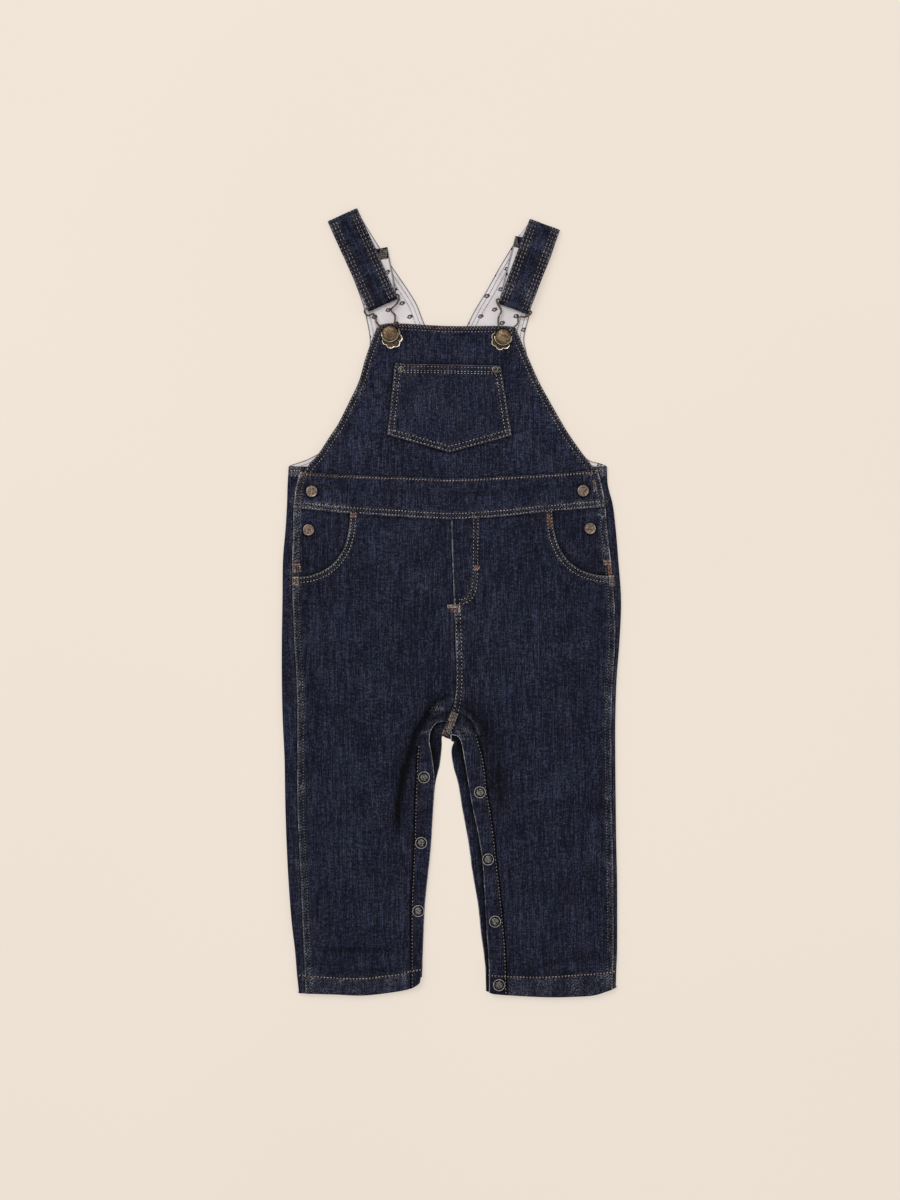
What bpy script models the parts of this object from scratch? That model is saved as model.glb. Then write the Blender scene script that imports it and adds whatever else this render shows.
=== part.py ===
"""Kids dungarees laid flat, face up: front on top, back on the surface, straps folded over and buttoned.

Lengths are in millimetres in the tables and the functions, and become metres in the meshes. X runs to
the viewer's right, Y from the hems to the shoulders, Z up from the surface. l and r in a name are the
viewer's left and right. Every piece of cloth is a wall of its own, SEAM_GAP from its neighbours.
"""

import math

import bmesh
import bpy
import numpy as np
from mathutils import Vector

MM = 0.001

# Driving sizes.
DENIM = 1.0
LINING = 1.0
DOUBLE = 2.0
SEAM_GAP = 0.3
SIDE_HEIGHT = 4.0  # of the back where it is rolled to the front
STRAP_WIDTH = 26.0
BIB_BUTTON_WIDTH = 14.0
SIDE_BUTTON_WIDTH = 9.6
SNAP_WIDTH = 9.6
RIVET_WIDTH = 5.2
WIRE_RADIUS = 0.65
PLATE_THICK = 0.8
HEM_TOP_Y = -298.5
HEM_BOTTOM_Y = -313.4
HEM_CURVE_Y = -284.0  # below this the cloth is stretched to the hem's curved edge
WAIST_JOIN_Y = 75.4  # the back legs end here and the back waistband starts
BACK_TOP_Y = 108.6

# Heights of the layers that lie on the back.
ON_BACK = DENIM + SEAM_GAP
ON_LINING = ON_BACK + LINING + SEAM_GAP
ON_HEMS = ON_BACK + 2 * (DENIM + SEAM_GAP)
LIFT = SEAM_GAP + DENIM  # of a single layer that lies on a panel

# How the front lies over the air inside: its underside's least height, how much it rises at the side seam
# and over what width, and how full the middle of a leg and of the bib is.
FRONT_REST = 2.0
SEAM_RISE = 1.4
SEAM_RISE_WIDTH = 7.0
LEG_FULLNESS = 1.1
BIB_REST = 0.4
BIB_FULLNESS = 0.9
WAISTBAND_PROUD = 0.7

# The garment's outline and the side seams, which the back reaches round to.
SIDES = {
    "y": (BACK_TOP_Y + 0.4, 93.8, 77.8, 57.8, 33.8, 1.8, -30, -62, -94, -126, -158, -190, -222, -254, -278,
          -298, -314),
    "out_l": (-129.8, -130.7, -131.2, -132.4, -134.4, -134.8, -135.3, -135.3, -134.6, -133.1, -132.6, -131.6,
              -130, -127.6, -124.8, -123.2, -121.6),
    "seam_l": (-119, -122.4, -125.6, -126, -126.8, -126.4, -125.2, -123.4, -122.7, -122.7, -122.7,
               -121.6, -120, -118.6, -117.6, -116.8, -116.4),
    "seam_r": (117.4, 119.8, 123.2, 124.8, 127.6, 130.4, 131.2, 129.2, 128.2, 128.2, 128.5, 129.1,
               129.7, 129.9, 129.9, 129.3, 129),
    "out_r": (124.8, 125.4, 129.4, 131.8, 133.8, 136, 134.8, 132.4, 131.4, 131.4, 131.7, 132.1, 132.8,
              132.9, 132.8, 132.1, 131.8),
}

# The waistband's lower edge and the seam between it and the bib.
WAIST_LINE = {"x": (-127, -80.8, -0.4, 76, 124), "y": (76.2, 71.2, 66.4, 72.4, 77.4)}
BIB_SEAM = {"x": (-121, -80, -40, 0, 40, 80, 118), "y": (103.4, 101, 99.6, 98.2, 99.8, 102, 105)}
BIB_TOP = {"x": (-58, -45, -1, 43, 53), "y": (221.4, 223, 220.8, 220.8, 218.8)}
BIB_SIDES = {
    "y": (105, 114.6, 121.8, 136.2, 145.8, 161.8, 178.6, 195.4, 213, 221),
    "left": (-119.2, -112.2, -105.9, -96.4, -90, -81.8, -73.6, -68.6, -62, -58),
    "right": (116.2, 110, 104.5, 94.8, 89, 80, 70.7, 63, 55.2, 51.8),
}
WAISTBAND_ENDS = {"y": (77.8, 89.8, 104.6), "left": (-125.3, -122.9, -119), "right": (122.7, 120.6, 116.4)}

# The hems' lower edge.
HEM_EDGE = {
    "x": (-122, -94, -70, -46, -33, -27, -23, 28, 34, 48, 77, 100, 120, 132),
    "y": (-312.6, -313.4, -314.2, -311.6, -309, -306.6, -301.4, -311.4, -313, -314.2, -315.6, -315.5,
          -313.6, -309),
}

# Centre front seam from the waist to the crotch, then each front placket beside its leg.
CENTRE_SEAM = ((-0.4, 65.8), (0.2, 53), (0.8, 40), (1.2, 28), (1.8, 15), (2.3, 2), (2.9, -12), (3.8, -35),
               (4.2, -58), (3.4, -76), (-0.4, -87))
CENTRE_SIDE_Y = (7, -8, -33, -58, -77, -90)  # side seam heights of the last six rows
PLACKET_L = {
    "outer": ((-0.9, -87.4), (-8, -88.2), (-16, -93.4), (-21.6, -102.2), (-25.6, -111), (-27.2, -119.8),
              (-27.6, -130.2), (-28, -142.2), (-28.8, -158.2), (-29.2, -178.2), (-29.8, -198.2),
              (-30.8, -218.2), (-31.8, -238.2), (-32, -258.2), (-32, -274), (-32, -286), (-32, -297),
              (-32, HEM_BOTTOM_Y)),
    "inner": ((-3.4, -95.4), (-6.8, -95.4), (-12, -97), (-16.2, -103), (-17.2, -111), (-15.6, -119.8),
              (-14.2, -130.2), (-13.2, -142.2), (-13.8, -158.2), (-15, -178.2), (-16.3, -198.2),
              (-18.4, -218.2), (-20.5, -238.2), (-21.6, -258.2), (-22.4, -274), (-23.2, -286), (-23.2, -297),
              (-24.4, HEM_BOTTOM_Y)),
    "side_y": (-90, -98, -106, -114, -121, -128, -136, -146, -160, -179, -198, -218, -238, -258, -274,
               -286, -297, HEM_BOTTOM_Y),
}
PLACKET_R = {
    "outer": ((-0.4, -87), (5.2, -87.8), (12, -90.6), (17.6, -97.4), (20.8, -106.2), (23.2, -115),
              (25.6, -123.8), (27.6, -135.8), (28.8, -150.2), (32, -167.8), (34.8, -188.6),
              (36.8, -207.8), (39.2, -228.6), (41.2, -247.8), (43.2, -270.2), (44, -285), (44.4, -297),
              (44.8, HEM_BOTTOM_Y)),
    "inner": ((-4, -104), (0, -105.8), (4.4, -106.8), (7, -109.4), (8.6, -113.5), (9.4, -118),
              (10.4, -124), (12.4, -136), (14.8, -150.2), (18, -167.8), (22.4, -188.6), (25.2, -207.8),
              (26.6, -228.6), (27.6, -247.8), (29, -270.2), (30, -285), (30.4, -297),
              (30.4, HEM_BOTTOM_Y)),
    "side_y": (-90, -97, -105, -113, -120, -127, -134, -143, -155, -170, -189, -208, -229, -248, -270,
               -285, -297, HEM_BOTTOM_Y),
}

# The back from its centre seam to the crotch, then each back placket beside its leg.
BACK_CENTRE = ((0, WAIST_JOIN_Y), (0, 40), (0, 5), (0, -30), (0, -62), (0, -92))
BACK_PLACKET_L = {
    "outer": ((-0.2, -92), (-10, -95), (-19, -102), (-21.5, -116), (-23.5, -130), (-25.5, -145),
              (-26.5, -165), (-28.5, -190), (-31, -215), (-33.5, -240), (-35, -265), (-36, -290),
              (-37, HEM_BOTTOM_Y)),
    "inner": ((-0.2, -109.6), (-4, -108.4), (-7.2, -107.4), (-7.4, -116), (-9, -130), (-12.5, -145),
              (-14.2, -165), (-15.8, -190), (-18.4, -215), (-20.7, -240), (-22, -265), (-23.2, -290),
              (-24.8, HEM_BOTTOM_Y)),
}
BACK_PLACKET_R = {
    "outer": ((0.2, -92), (9, -97), (15, -106), (15.5, -118), (17.5, -130), (20, -145), (22.5, -165),
              (26.8, -190), (30.5, -215), (34.5, -240), (37.5, -265), (40, -290), (41, HEM_BOTTOM_Y)),
    "inner": ((0.2, -110.8), (1.2, -111.4), (2.2, -112), (0.4, -118), (1.6, -130), (5.7, -145), (9, -165),
              (13.6, -190), (17, -215), (21.3, -240), (24, -265), (27.2, -290), (28, HEM_BOTTOM_Y)),
}
BACK_SIDE_Y = (WAIST_JOIN_Y, 40, 5, -30, -62, -90, -100, -112, -122, -132, -146, -165, -190, -215, -240,
               -265, -290, HEM_BOTTOM_Y)

# Hip pocket openings: superellipse quarters about a centre on the side seam.
OPENING_POWER = 2.4
OPENINGS = {
    "l": {"centre": (-126.6, 71.2), "reach": (45.8, 51.0), "facing": 1},
    "r": {"centre": (128.6, 72.4), "reach": (47.2, 51.4), "facing": -1},
}
INSET_LAP = 1.13  # how far the pocket's inset reaches under the front, as a share of the opening

# The back above the waist: the shoulder edges and the neckline, each from the bottom up.
ARMHOLE_L = ((-129.4, 109.3), (-121, 112), (-112, 115.6), (-99, 124), (-87, 140), (-77, 160), (-70, 180),
             (-66, 200), (-65, 212), (-68.8, 231.4), (-72, 242.6), (-80, 263.4), (-88.6, 282.6))
NECKLINE_L = ((-3, 208), (-13, 211), (-20.8, 221.8), (-27.2, 237.8), (-34.4, 249.8), (-48, 269.8),
              (-58.4, 285.8), (-64.8, 296.2))
ARMHOLE_R = ((124.2, 109.3), (118, 111.4), (110.6, 113.6), (97, 124), (83, 140), (72, 160), (64.6, 180),
             (60.4, 200), (58.6, 212), (63, 229.8), (64.6, 237.8), (71.6, 256), (79.4, 275))
NECKLINE_R = ((3, 209), (8, 213), (12.8, 221.4), (19.2, 233.8), (28.8, 249.8), (37.6, 265.8),
              (47.2, 281.8), (54, 293.2))

# Straps: middle of the fold over the shoulder, middle of the buckle end, length of the loose end that
# is turned back behind, and how far its tip slants to the garment's middle.
STRAPS = {
    "l": {"fold": (-86.9, 309.8), "end": (-54.2, 237.2), "tail": 44.2, "slant": 9.3},
    "r": {"fold": (75.1, 302.0), "end": (49.8, 234.2), "tail": 57.0, "slant": -6.0},
}
LOOP_RADIUS = WIRE_RADIUS + SEAM_GAP + LINING + SEAM_GAP + DENIM  # outside of the loop round the buckle

STRAP_START = 9.0  # a strap's own cloth starts this far below its fold, behind
STRAP_LOW = 4.4  # height of a strap's middle over the lining, and over its own loose end
STRAP_HIGH = 7.0
TAIL_TURN = 9.0  # the denim is turned over the loose end's tip this far
LINING_INSET = 0.4

# Buckle wire arms from the strap to the button, relative to the button's middle.
WIRE_ARMS = {
    "l": {
        "outer": ((-20.4, 17.2), (-17.8, 14.2), (-14.6, 15.6), (-12.2, 15.1), (-11.2, 12.5), (-11, 10.1),
                  (-9.8, 7.7), (-7.4, 5.3), (-5, 2.4), (-3.8, -1), (-2, -3.3)),
        "inner": ((6.9, 25.9), (3.2, 21.6), (1.2, 19.9), (1.4, 17.3), (3.8, 15.7), (4.2, 12.5), (3.8, 9.3),
                  (3.4, 6.9), (3.6, 4), (3.7, 0.4), (2.4, -2.9)),
    },
    "r": {
        "outer": ((22.3, 18.4), (17.8, 16), (14, 16.4), (11.9, 15.2), (12, 12.4), (10.8, 9.6),
                  (7.2, 7), (4.4, 4.6), (3.7, 1), (3.4, -1.6), (2, -3.3)),
        "inner": ((-5, 27.6), (-2.4, 23.6), (-1.4, 20.4), (-2.9, 17.6), (-3.8, 14.8), (-4, 11.6),
                  (-3.6, 8.4), (-3.3, 5.4), (-3.8, 2.4), (-3.8, -0.6), (-2.4, -2.9)),
    },
}
BIB_BUTTONS = {"l": (-48.8, 214.5), "r": (41.6, 211.8)}
PLATE_CENTRES = {"l": (-47.6, 211.0), "r": (39.9, 209.8)}
PLATE = {"radius": 7.4, "wave": 0.9, "lobes": 7, "points": 42}
SIDE_BUTTONS = {"upper_l": (-111.2, 88.6), "lower_l": (-113.8, 57.8), "upper_r": (105.6, 89.0),
                "lower_r": (111.2, 59.0)}
SNAPS = {
    "l": ((-21.6, -139.8), (-23.8, -192.2), (-26.1, -246.6)),
    "r": ((23.1, -151.8), (29.6, -205.4), (35.2, -255.0), (38.4, -305.6)),
}
RIVETS = {"l": (-40.0, 185.8), "r": (35.2, 185.8)}

# Round fittings: radius as a share of half the width, and height, from the top's middle round the outside.
BIB_BUTTON = {"radius": (0, 0.34, 0.66, 0.89, 1, 0.94, 0.29, 0.29, 0),
              "height": (5.4, 5.3, 4.9, 4.1, 3.0, 2.4, 2.4, 0, 0)}
SIDE_BUTTON = {"radius": (0, 0.67, 0.85, 1, 0.96, 0.83, 0), "height": (1.9, 1.9, 1.7, 1.0, 0.2, 0, 0)}
SNAP = {"radius": (0, 0.38, 0.62, 0.75, 0.9, 1, 0.96, 0), "height": (0.7, 0.7, 0.8, 1.4, 1.4, 0.7, 0, 0)}
RIVET = {"radius": (0, 0.38, 0.5, 0.85, 1, 0.96, 0), "height": (0.9, 0.9, 0.6, 0.6, 0.2, 0, 0)}

BIB_POCKET = {
    "top": ((-44.8, 190.6), (-22.4, 190.2), (0, 189.8), (20, 189.4), (39.6, 189)),
    "bottom": ((-50.8, 133.8), (-26, 126.8), (-1.2, 119.8), (24, 126.6), (48.4, 133.4)),
}
FLY = {
    "edge": ((0.5, 64.6), (0.9, 48), (1.3, 32), (1.9, 16), (2.3, 4), (2.5, -1), (3.4, -3)),
    "curve": ((22.8, 66.0), (22.6, 50), (22.4, 35), (22.2, 20), (20.8, 9), (16.4, 1), (9, -2.8)),
}

# Folds of the front: the ends of the fold's line, its half width, and its height, below 0 for a trough.
FOLDS = {
    "crotch_l_upper": {"start": (-10, -72), "end": (-30, -108), "half": 8, "height": -0.9},
    "crotch_l_lower": {"start": (-30, -108), "end": (-42, -150), "half": 8, "height": -0.9},
    "crotch_l_ridge": {"start": (-28, -78), "end": (-56, -160), "half": 12, "height": 1.2},
    "crotch_r_upper": {"start": (12, -78), "end": (34, -106), "half": 8, "height": -0.8},
    "crotch_r_lower": {"start": (34, -106), "end": (42, -150), "half": 8, "height": -0.8},
    "crotch_r_ridge": {"start": (36, -84), "end": (58, -160), "half": 12, "height": 1.1},
    "thigh_l": {"start": (-112, -20), "end": (-62, -60), "half": 14, "height": 0.8},
    "thigh_r": {"start": (112, -10), "end": (60, -56), "half": 14, "height": 0.8},
    "knee_l": {"start": (-112, -196), "end": (-60, -214), "half": 13, "height": 0.8},
    "knee_r": {"start": (60, -210), "end": (112, -192), "half": 13, "height": 0.8},
    "hem_l": {"start": (-108, -280), "end": (-40, -279), "half": 7, "height": -0.8},
    "hem_r": {"start": (62, -287), "end": (112, -282), "half": 7, "height": -0.8},
}

COLOURS = {
    "indigo denim": {"colour": (0.018, 0.022, 0.042, 1), "roughness": 0.9, "metallic": 0.0},
    "printed lining": {"colour": (0.62, 0.60, 0.62, 1), "roughness": 0.9, "metallic": 0.0},
    "antique brass": {"colour": (0.22, 0.15, 0.09, 1), "roughness": 0.4, "metallic": 1.0},
}


def fresh_scene():
    """An empty scene with the collection that the pieces go in."""
    for thing in list(bpy.data.objects):
        bpy.data.objects.remove(thing, do_unlink=True)
    collection = bpy.data.collections.new("kids_dungarees")
    bpy.context.scene.collection.children.link(collection)
    return collection


COLLECTION = fresh_scene()


def material(name, finish):
    """The piece's own material in one of the three finishes."""
    made = bpy.data.materials.new(name)
    made.use_nodes = True
    shader = made.node_tree.nodes["Principled BSDF"]
    shader.inputs["Base Color"].default_value = COLOURS[finish]["colour"]
    shader.inputs["Roughness"].default_value = COLOURS[finish]["roughness"]
    shader.inputs["Metallic"].default_value = COLOURS[finish]["metallic"]
    return made


def add_piece(name, data, finish):
    """A named object of the garment around a mesh or a curve."""
    piece = bpy.data.objects.new(name, data)
    data.materials.append(material(name, finish))
    COLLECTION.objects.link(piece)
    return piece


def at(table, column, where, key="y"):
    """A column of a table at a place between its rows."""
    keys, values = np.array(table[key], float), np.array(table[column], float)
    order = np.argsort(keys)
    return float(np.interp(where, keys[order], values[order]))


def ease(low, high, value):
    """0 at low, 1 at high, with a soft start and end. low may be the larger."""
    share = min(max((value - low) / (high - low), 0.0), 1.0)
    return share * share * (3 - 2 * share)


def smooth(points, steps):
    """Points along a curve through the given ones, that many to each stretch."""
    knots = [np.array(point, float) for point in points]
    knots = [2 * knots[0] - knots[1], *knots, 2 * knots[-1] - knots[-2]]
    found = []
    for before, start, end, after in zip(knots, knots[1:], knots[2:], knots[3:]):
        for step in range(steps):
            t = step / steps
            found.append(0.5 * (2 * start + (end - before) * t
                                + (2 * before - 5 * start + 4 * end - after) * t ** 2
                                + (3 * start - before - 3 * end + after) * t ** 3))
    found.append(knots[-2])
    return found


def shifted(rail, distance):
    """A rail moved to its right, seen along it, by a distance."""
    points = [np.array(point, float) for point in rail]
    moved = []
    for i, point in enumerate(points):
        along = points[min(i + 1, len(points) - 1)] - points[max(i - 1, 0)]
        along /= np.linalg.norm(along)
        moved.append(point + distance * np.array((along[1], -along[0])))
    return moved


def to_hem(x, y):
    """Stretches what lies near the hems down to their curved edge."""
    if y >= HEM_CURVE_Y:
        return y
    edge = at(HEM_EDGE, "y", x, "x")
    return HEM_CURVE_Y + (y - HEM_CURVE_Y) * (edge - HEM_CURVE_Y) / (HEM_BOTTOM_Y - HEM_CURVE_Y)


def fold_height(x, y):
    """What the folds of the front add to its height here."""
    total = 0.0
    for fold in FOLDS.values():
        start, end = np.array(fold["start"], float), np.array(fold["end"], float)
        along = end - start
        share = min(max(np.dot((x, y) - start, along) / np.dot(along, along), 0.0), 1.0)
        distance = np.linalg.norm((x, y) - start - share * along)
        total += fold["height"] * math.exp(-(distance / fold["half"]) ** 2)
    return total


def opening_share(side, x, y):
    """How far out a place lies from an opening's centre: 1 on the opening's edge."""
    opening = OPENINGS[side]
    across = abs(x - opening["centre"][0]) / opening["reach"][0]
    down = abs(opening["centre"][1] - y) / opening["reach"][1]
    return (across ** OPENING_POWER + down ** OPENING_POWER) ** (1 / OPENING_POWER)


def front_under(x, y):
    """Height of the underside of the front below the waistband, before it laps over a pocket."""
    seam = at(SIDES, "seam_l" if x < 2 else "seam_r", y)
    inset = abs(seam - x)
    width = abs(seam) - 20 if y < -110 else abs(seam)
    fullness = LEG_FULLNESS * math.sin(math.pi * min(inset / width, 1.0))
    rise = SEAM_RISE * math.exp(-(inset / SEAM_RISE_WIDTH) ** 2)
    height = FRONT_REST + rise + fullness + fold_height(x, y)
    height += (ON_HEMS - height) * ease(HEM_CURVE_Y, HEM_TOP_Y + 2.5, y)
    return max(height, ON_BACK)


def front_top(x, y):
    """Height of the outside of the front, where it laps over a hip pocket too."""
    nearest = min(opening_share(side, x, y) for side in OPENINGS if y < OPENINGS[side]["centre"][1] + 6)
    return front_under(x, y) + DENIM + LIFT * (1 - ease(1.25, 1.6, nearest))


def inset_top(x, y):
    return front_under(x, y) + DENIM


def placket_top(x, y):
    return front_under(x, y) + DOUBLE


def waistband_top(x, y):
    """The waistband stands proud of the legs and the bib."""
    return front_under(x, WAIST_LINE["y"][1]) + DOUBLE + WAISTBAND_PROUD


def bib_top(x, y):
    """Height of the outside of the bib, a little fuller in the middle."""
    width = (at(BIB_SIDES, "right", y) - at(BIB_SIDES, "left", y)) / 2
    fullness = math.cos(0.5 * math.pi * min(abs(x + 2) / width, 1.0)) * ease(222, 190, y)
    return ON_LINING + BIB_REST + DENIM + BIB_FULLNESS * fullness


def cloth(name, outside, columns, rows, thick, finish, side=-1):
    """A wall of cloth: outside(column, row) gives its outer points, and the wall goes inwards.

    side is -1 where the grid's faces point outwards and 1 where they point inwards."""
    mesh = bpy.data.meshes.new(name)
    grid = bmesh.new()
    bmesh.ops.create_grid(grid, x_segments=columns, y_segments=rows, size=0.5)
    for vert in grid.verts:
        column, row = round((vert.co.x + 0.5) * columns), round((vert.co.y + 0.5) * rows)
        vert.co = Vector(outside(column, row)) * MM
    grid.to_mesh(mesh)
    grid.free()
    piece = add_piece(name, mesh, finish)
    wall = piece.modifiers.new("wall", "SOLIDIFY")
    wall.thickness = thick * MM
    wall.offset = side
    wall.use_even_offset = True
    return piece


def panel(name, left, right, columns, height, thick, finish="indigo denim"):
    """Cloth between two rails, both listed from the top down, at a height given by a function."""
    rows = len(left) - 1

    def outside(column, row):
        start, end = np.array(left[rows - row], float), np.array(right[rows - row], float)
        x, y = start + (end - start) * column / columns
        y = to_hem(x, y)
        return x, y, height(x, y)

    return cloth(name, outside, columns, rows, thick, finish)


def flat_piece(name, outline, bottom, thick, finish):
    """A flat outline cut from cloth, lying at one height."""
    curve = bpy.data.curves.new(name, "CURVE")
    curve.dimensions = "2D"
    curve.fill_mode = "BOTH"
    curve.extrude = thick / 2 * MM
    spline = curve.splines.new("POLY")
    spline.points.add(len(outline) - 1)
    spline.points.foreach_set("co", [value for x, y in outline for value in (x * MM, y * MM, 0, 1)])
    spline.use_cyclic_u = True
    piece = add_piece(name, curve, finish)
    piece.location.z = (bottom + thick / 2) * MM
    return piece


def turned(name, profile, width, centre, bottom, steps, finish="antique brass"):
    """A round fitting from a profile listed down its outer side, on an upright axis."""
    points = [(share * width / 2 * MM, 0, height * MM)
              for share, height in zip(profile["radius"], profile["height"])]
    mesh = bpy.data.meshes.new(name)
    mesh.from_pydata(points, [(i, i + 1) for i in range(len(points) - 1)], [])
    piece = add_piece(name, mesh, finish)
    piece.location = Vector((*centre, bottom)) * MM
    screw = piece.modifiers.new("turn", "SCREW")
    screw.steps = screw.render_steps = steps
    screw.use_merge_vertices = True
    screw.merge_threshold = 0.00001
    return piece


def wire(name, route, finish="antique brass"):
    """A closed ring of wire along a route."""
    curve = bpy.data.curves.new(name, "CURVE")
    curve.dimensions = "3D"
    curve.bevel_depth = WIRE_RADIUS * MM
    curve.bevel_resolution = 2
    spline = curve.splines.new("POLY")
    spline.points.add(len(route) - 1)
    spline.points.foreach_set("co", [value for point in route for value in (*(np.array(point) * MM), 1)])
    spline.use_cyclic_u = True
    return add_piece(name, curve, finish)


def highest(height, centre, radius):
    """The greatest height of a surface under a round fitting."""
    x, y = centre
    ring = [(x + radius * math.cos(turn), y + radius * math.sin(turn)) for turn in np.arange(0, 6.3, 0.4)]
    return max(height(*place) for place in [centre, *ring])


def side_rail(side, heights):
    """Points on a side seam, moved in by the seam's gap."""
    inwards = SEAM_GAP if side == "l" else -SEAM_GAP
    return [(at(SIDES, "seam_" + side, y) + inwards, y) for y in heights]


def opening_rail(side, share, turns):
    """Points of a hip pocket's opening, from the waist round to the side seam."""
    opening = OPENINGS[side]
    rail = []
    for turn in np.linspace(0, math.pi / 2, turns + 1):
        across = math.cos(turn) ** (2 / OPENING_POWER)
        down = math.sin(turn) ** (2 / OPENING_POWER)
        rail.append((opening["centre"][0] + opening["facing"] * share * opening["reach"][0] * across,
                     opening["centre"][1] - share * opening["reach"][1] * down))
    return rail


def add_front_legs():
    """Each front leg, from the waistband and the pocket's opening down to the hem."""
    turns = 8
    upper = smooth(CENTRE_SEAM[:5], 2)
    for side, placket in (("l", PLACKET_L), ("r", PLACKET_R)):
        opening = opening_rail(side, 1.0, turns)
        seam = side_rail(side, [*CENTRE_SIDE_Y, *placket["side_y"][1:]])
        corner = side_rail(side, [opening[-1][1]])
        outer = [*opening[:-1], *corner, *seam]
        outer[0] = (outer[0][0], at(WAIST_LINE, "y", outer[0][0], "x"))
        inner = [*upper, *CENTRE_SEAM[5:], *placket["outer"][1:]]
        if side == "l":
            panel("front_leg_l", outer, shifted(inner, SEAM_GAP / 2), 12, front_top, DENIM)
        else:
            panel("front_leg_r", shifted(inner, -SEAM_GAP / 2), outer, 12, front_top, DENIM)


def add_insets():
    """The hip pockets' insets, which show inside the openings and run up to the waistband."""
    for side in OPENINGS:
        seam_y = np.linspace(at(WAIST_LINE, "y", OPENINGS[side]["centre"][0], "x") - SEAM_GAP, 14.5, 9)
        seam = side_rail(side, seam_y)
        inner = opening_rail(side, INSET_LAP, 8)
        inner[0] = (inner[0][0], at(WAIST_LINE, "y", inner[0][0], "x"))
        inner[-1] = (seam[-1][0] + OPENINGS[side]["facing"], 14.0)
        inner = [(x, y - SEAM_GAP) for x, y in inner]
        left, right = (seam, inner) if side == "l" else (inner, seam)
        panel(f"pocket_inset_{side}", left, right, 5, inset_top, DENIM)


def add_plackets():
    """The snap plackets of the inner legs: the front's, double, over the back's."""
    for side, front, back in (("l", PLACKET_L, BACK_PLACKET_L), ("r", PLACKET_R, BACK_PLACKET_R)):
        away = -SEAM_GAP / 2 if side == "l" else SEAM_GAP / 2
        left, right = shifted(front["outer"], away), front["inner"]
        back_left, back_right = shifted(back["outer"], away), shifted(back["inner"], 0)
        if side == "r":
            left, right, back_left, back_right = right, left, back_right, back_left
        panel(f"front_placket_{side}", left, right, 3, placket_top, DOUBLE)
        panel(f"back_placket_{side}", back_left, back_right, 1, lambda x, y: DENIM, DENIM)


def rolled(side, inner, outer_y):
    """Outer points of a back panel that lies flat, turns up round the side and ends at the side seam.

    Columns 0 to 4 are flat on the surface, 4 to 10 the half turn and 10 to 11 the lip."""
    sign = -1 if side == "l" else 1
    rows = len(inner) - 1

    def outside(column, row):
        column = 11 - column if side == "l" else column
        start, y_side = np.array(inner[rows - row], float), outer_y[rows - row]
        out, seam = at(SIDES, "out_" + side, y_side), at(SIDES, "seam_" + side, y_side)
        turn_depth = min(SIDE_HEIGHT / 2, 0.75 * abs(out - seam))
        turn_x = out - sign * turn_depth
        if column <= 4:
            x, y = start + (np.array((turn_x, y_side)) - start) * column / 4
            z = 0.0
        elif column <= 10:
            angle = (column - 4) / 6 * math.pi
            x, y = turn_x + sign * turn_depth * math.sin(angle), y_side
            z = SIDE_HEIGHT / 2 * (1 - math.cos(angle))
        else:
            x, y, z = seam, y_side, SIDE_HEIGHT
        return x, to_hem(x, y), z

    return outside


def add_back_legs():
    """Each back leg, flat on the surface and rolled round the side to the front."""
    for side, placket in (("l", BACK_PLACKET_L), ("r", BACK_PLACKET_R)):
        inner = shifted([*BACK_CENTRE, *placket["outer"][1:]], SEAM_GAP / 2 if side == "l" else -SEAM_GAP / 2)
        outside = rolled(side, inner, BACK_SIDE_Y)
        cloth(f"back_leg_{side}", outside, 11, len(inner) - 1, DENIM, "indigo denim", side=1)


def add_back_waistband():
    """The back's waistband in one piece, rolled to the front at both sides."""
    rows = 3
    heights = np.linspace(BACK_TOP_Y, WAIST_JOIN_Y + SEAM_GAP, rows + 1)
    middle = [(0.0, y) for y in heights]
    left, right = rolled("l", middle, heights), rolled("r", middle, heights)

    def outside(column, row):
        return left(column, row) if column <= 11 else right(column - 11, row)

    cloth("back_waistband", outside, 22, rows, DENIM, "indigo denim", side=1)


def add_hems():
    """The turned-up hems inside each leg, the back's under the front's."""
    for side, placket in (("l", PLACKET_L), ("r", PLACKET_R)):
        sign = -1 if side == "l" else 1
        for part, height, edge, inset in (("back", ON_BACK, "out_", 2.6),
                                          ("front", ON_BACK + DENIM + SEAM_GAP, "seam_", 0.8)):
            rails = []
            for y in (HEM_TOP_Y, HEM_BOTTOM_Y + 0.6):
                outer_x = at(SIDES, edge + side, y) - sign * inset
                inner_x = placket["inner"][-1][0] + sign * 1.0
                rails.append([(x, y) for x in np.linspace(outer_x, inner_x, 9)])
            top, bottom = rails
            if side == "r":
                top, bottom = top[::-1], bottom[::-1]
            panel(f"{part}_hem_{side}", bottom, top, 2,
                  lambda x, y, height=height: height + DENIM, DENIM)


def add_waistband():
    """The front waistband, double, between the bib and the legs."""
    columns, rows = 24, 3

    def outside(column, row):
        y_level = WAISTBAND_ENDS["y"][0] + (WAISTBAND_ENDS["y"][-1] - WAISTBAND_ENDS["y"][0]) * row / rows
        left, right = at(WAISTBAND_ENDS, "left", y_level), at(WAISTBAND_ENDS, "right", y_level)
        x = left + (right - left) * column / columns
        bottom = at(WAIST_LINE, "y", x, "x") + SEAM_GAP
        top = at(BIB_SEAM, "y", x, "x") - SEAM_GAP
        y = bottom + (top - bottom) * row / rows
        return x, y, waistband_top(x, y)

    cloth("front_waistband", outside, columns, rows, DOUBLE, "indigo denim")


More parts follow.
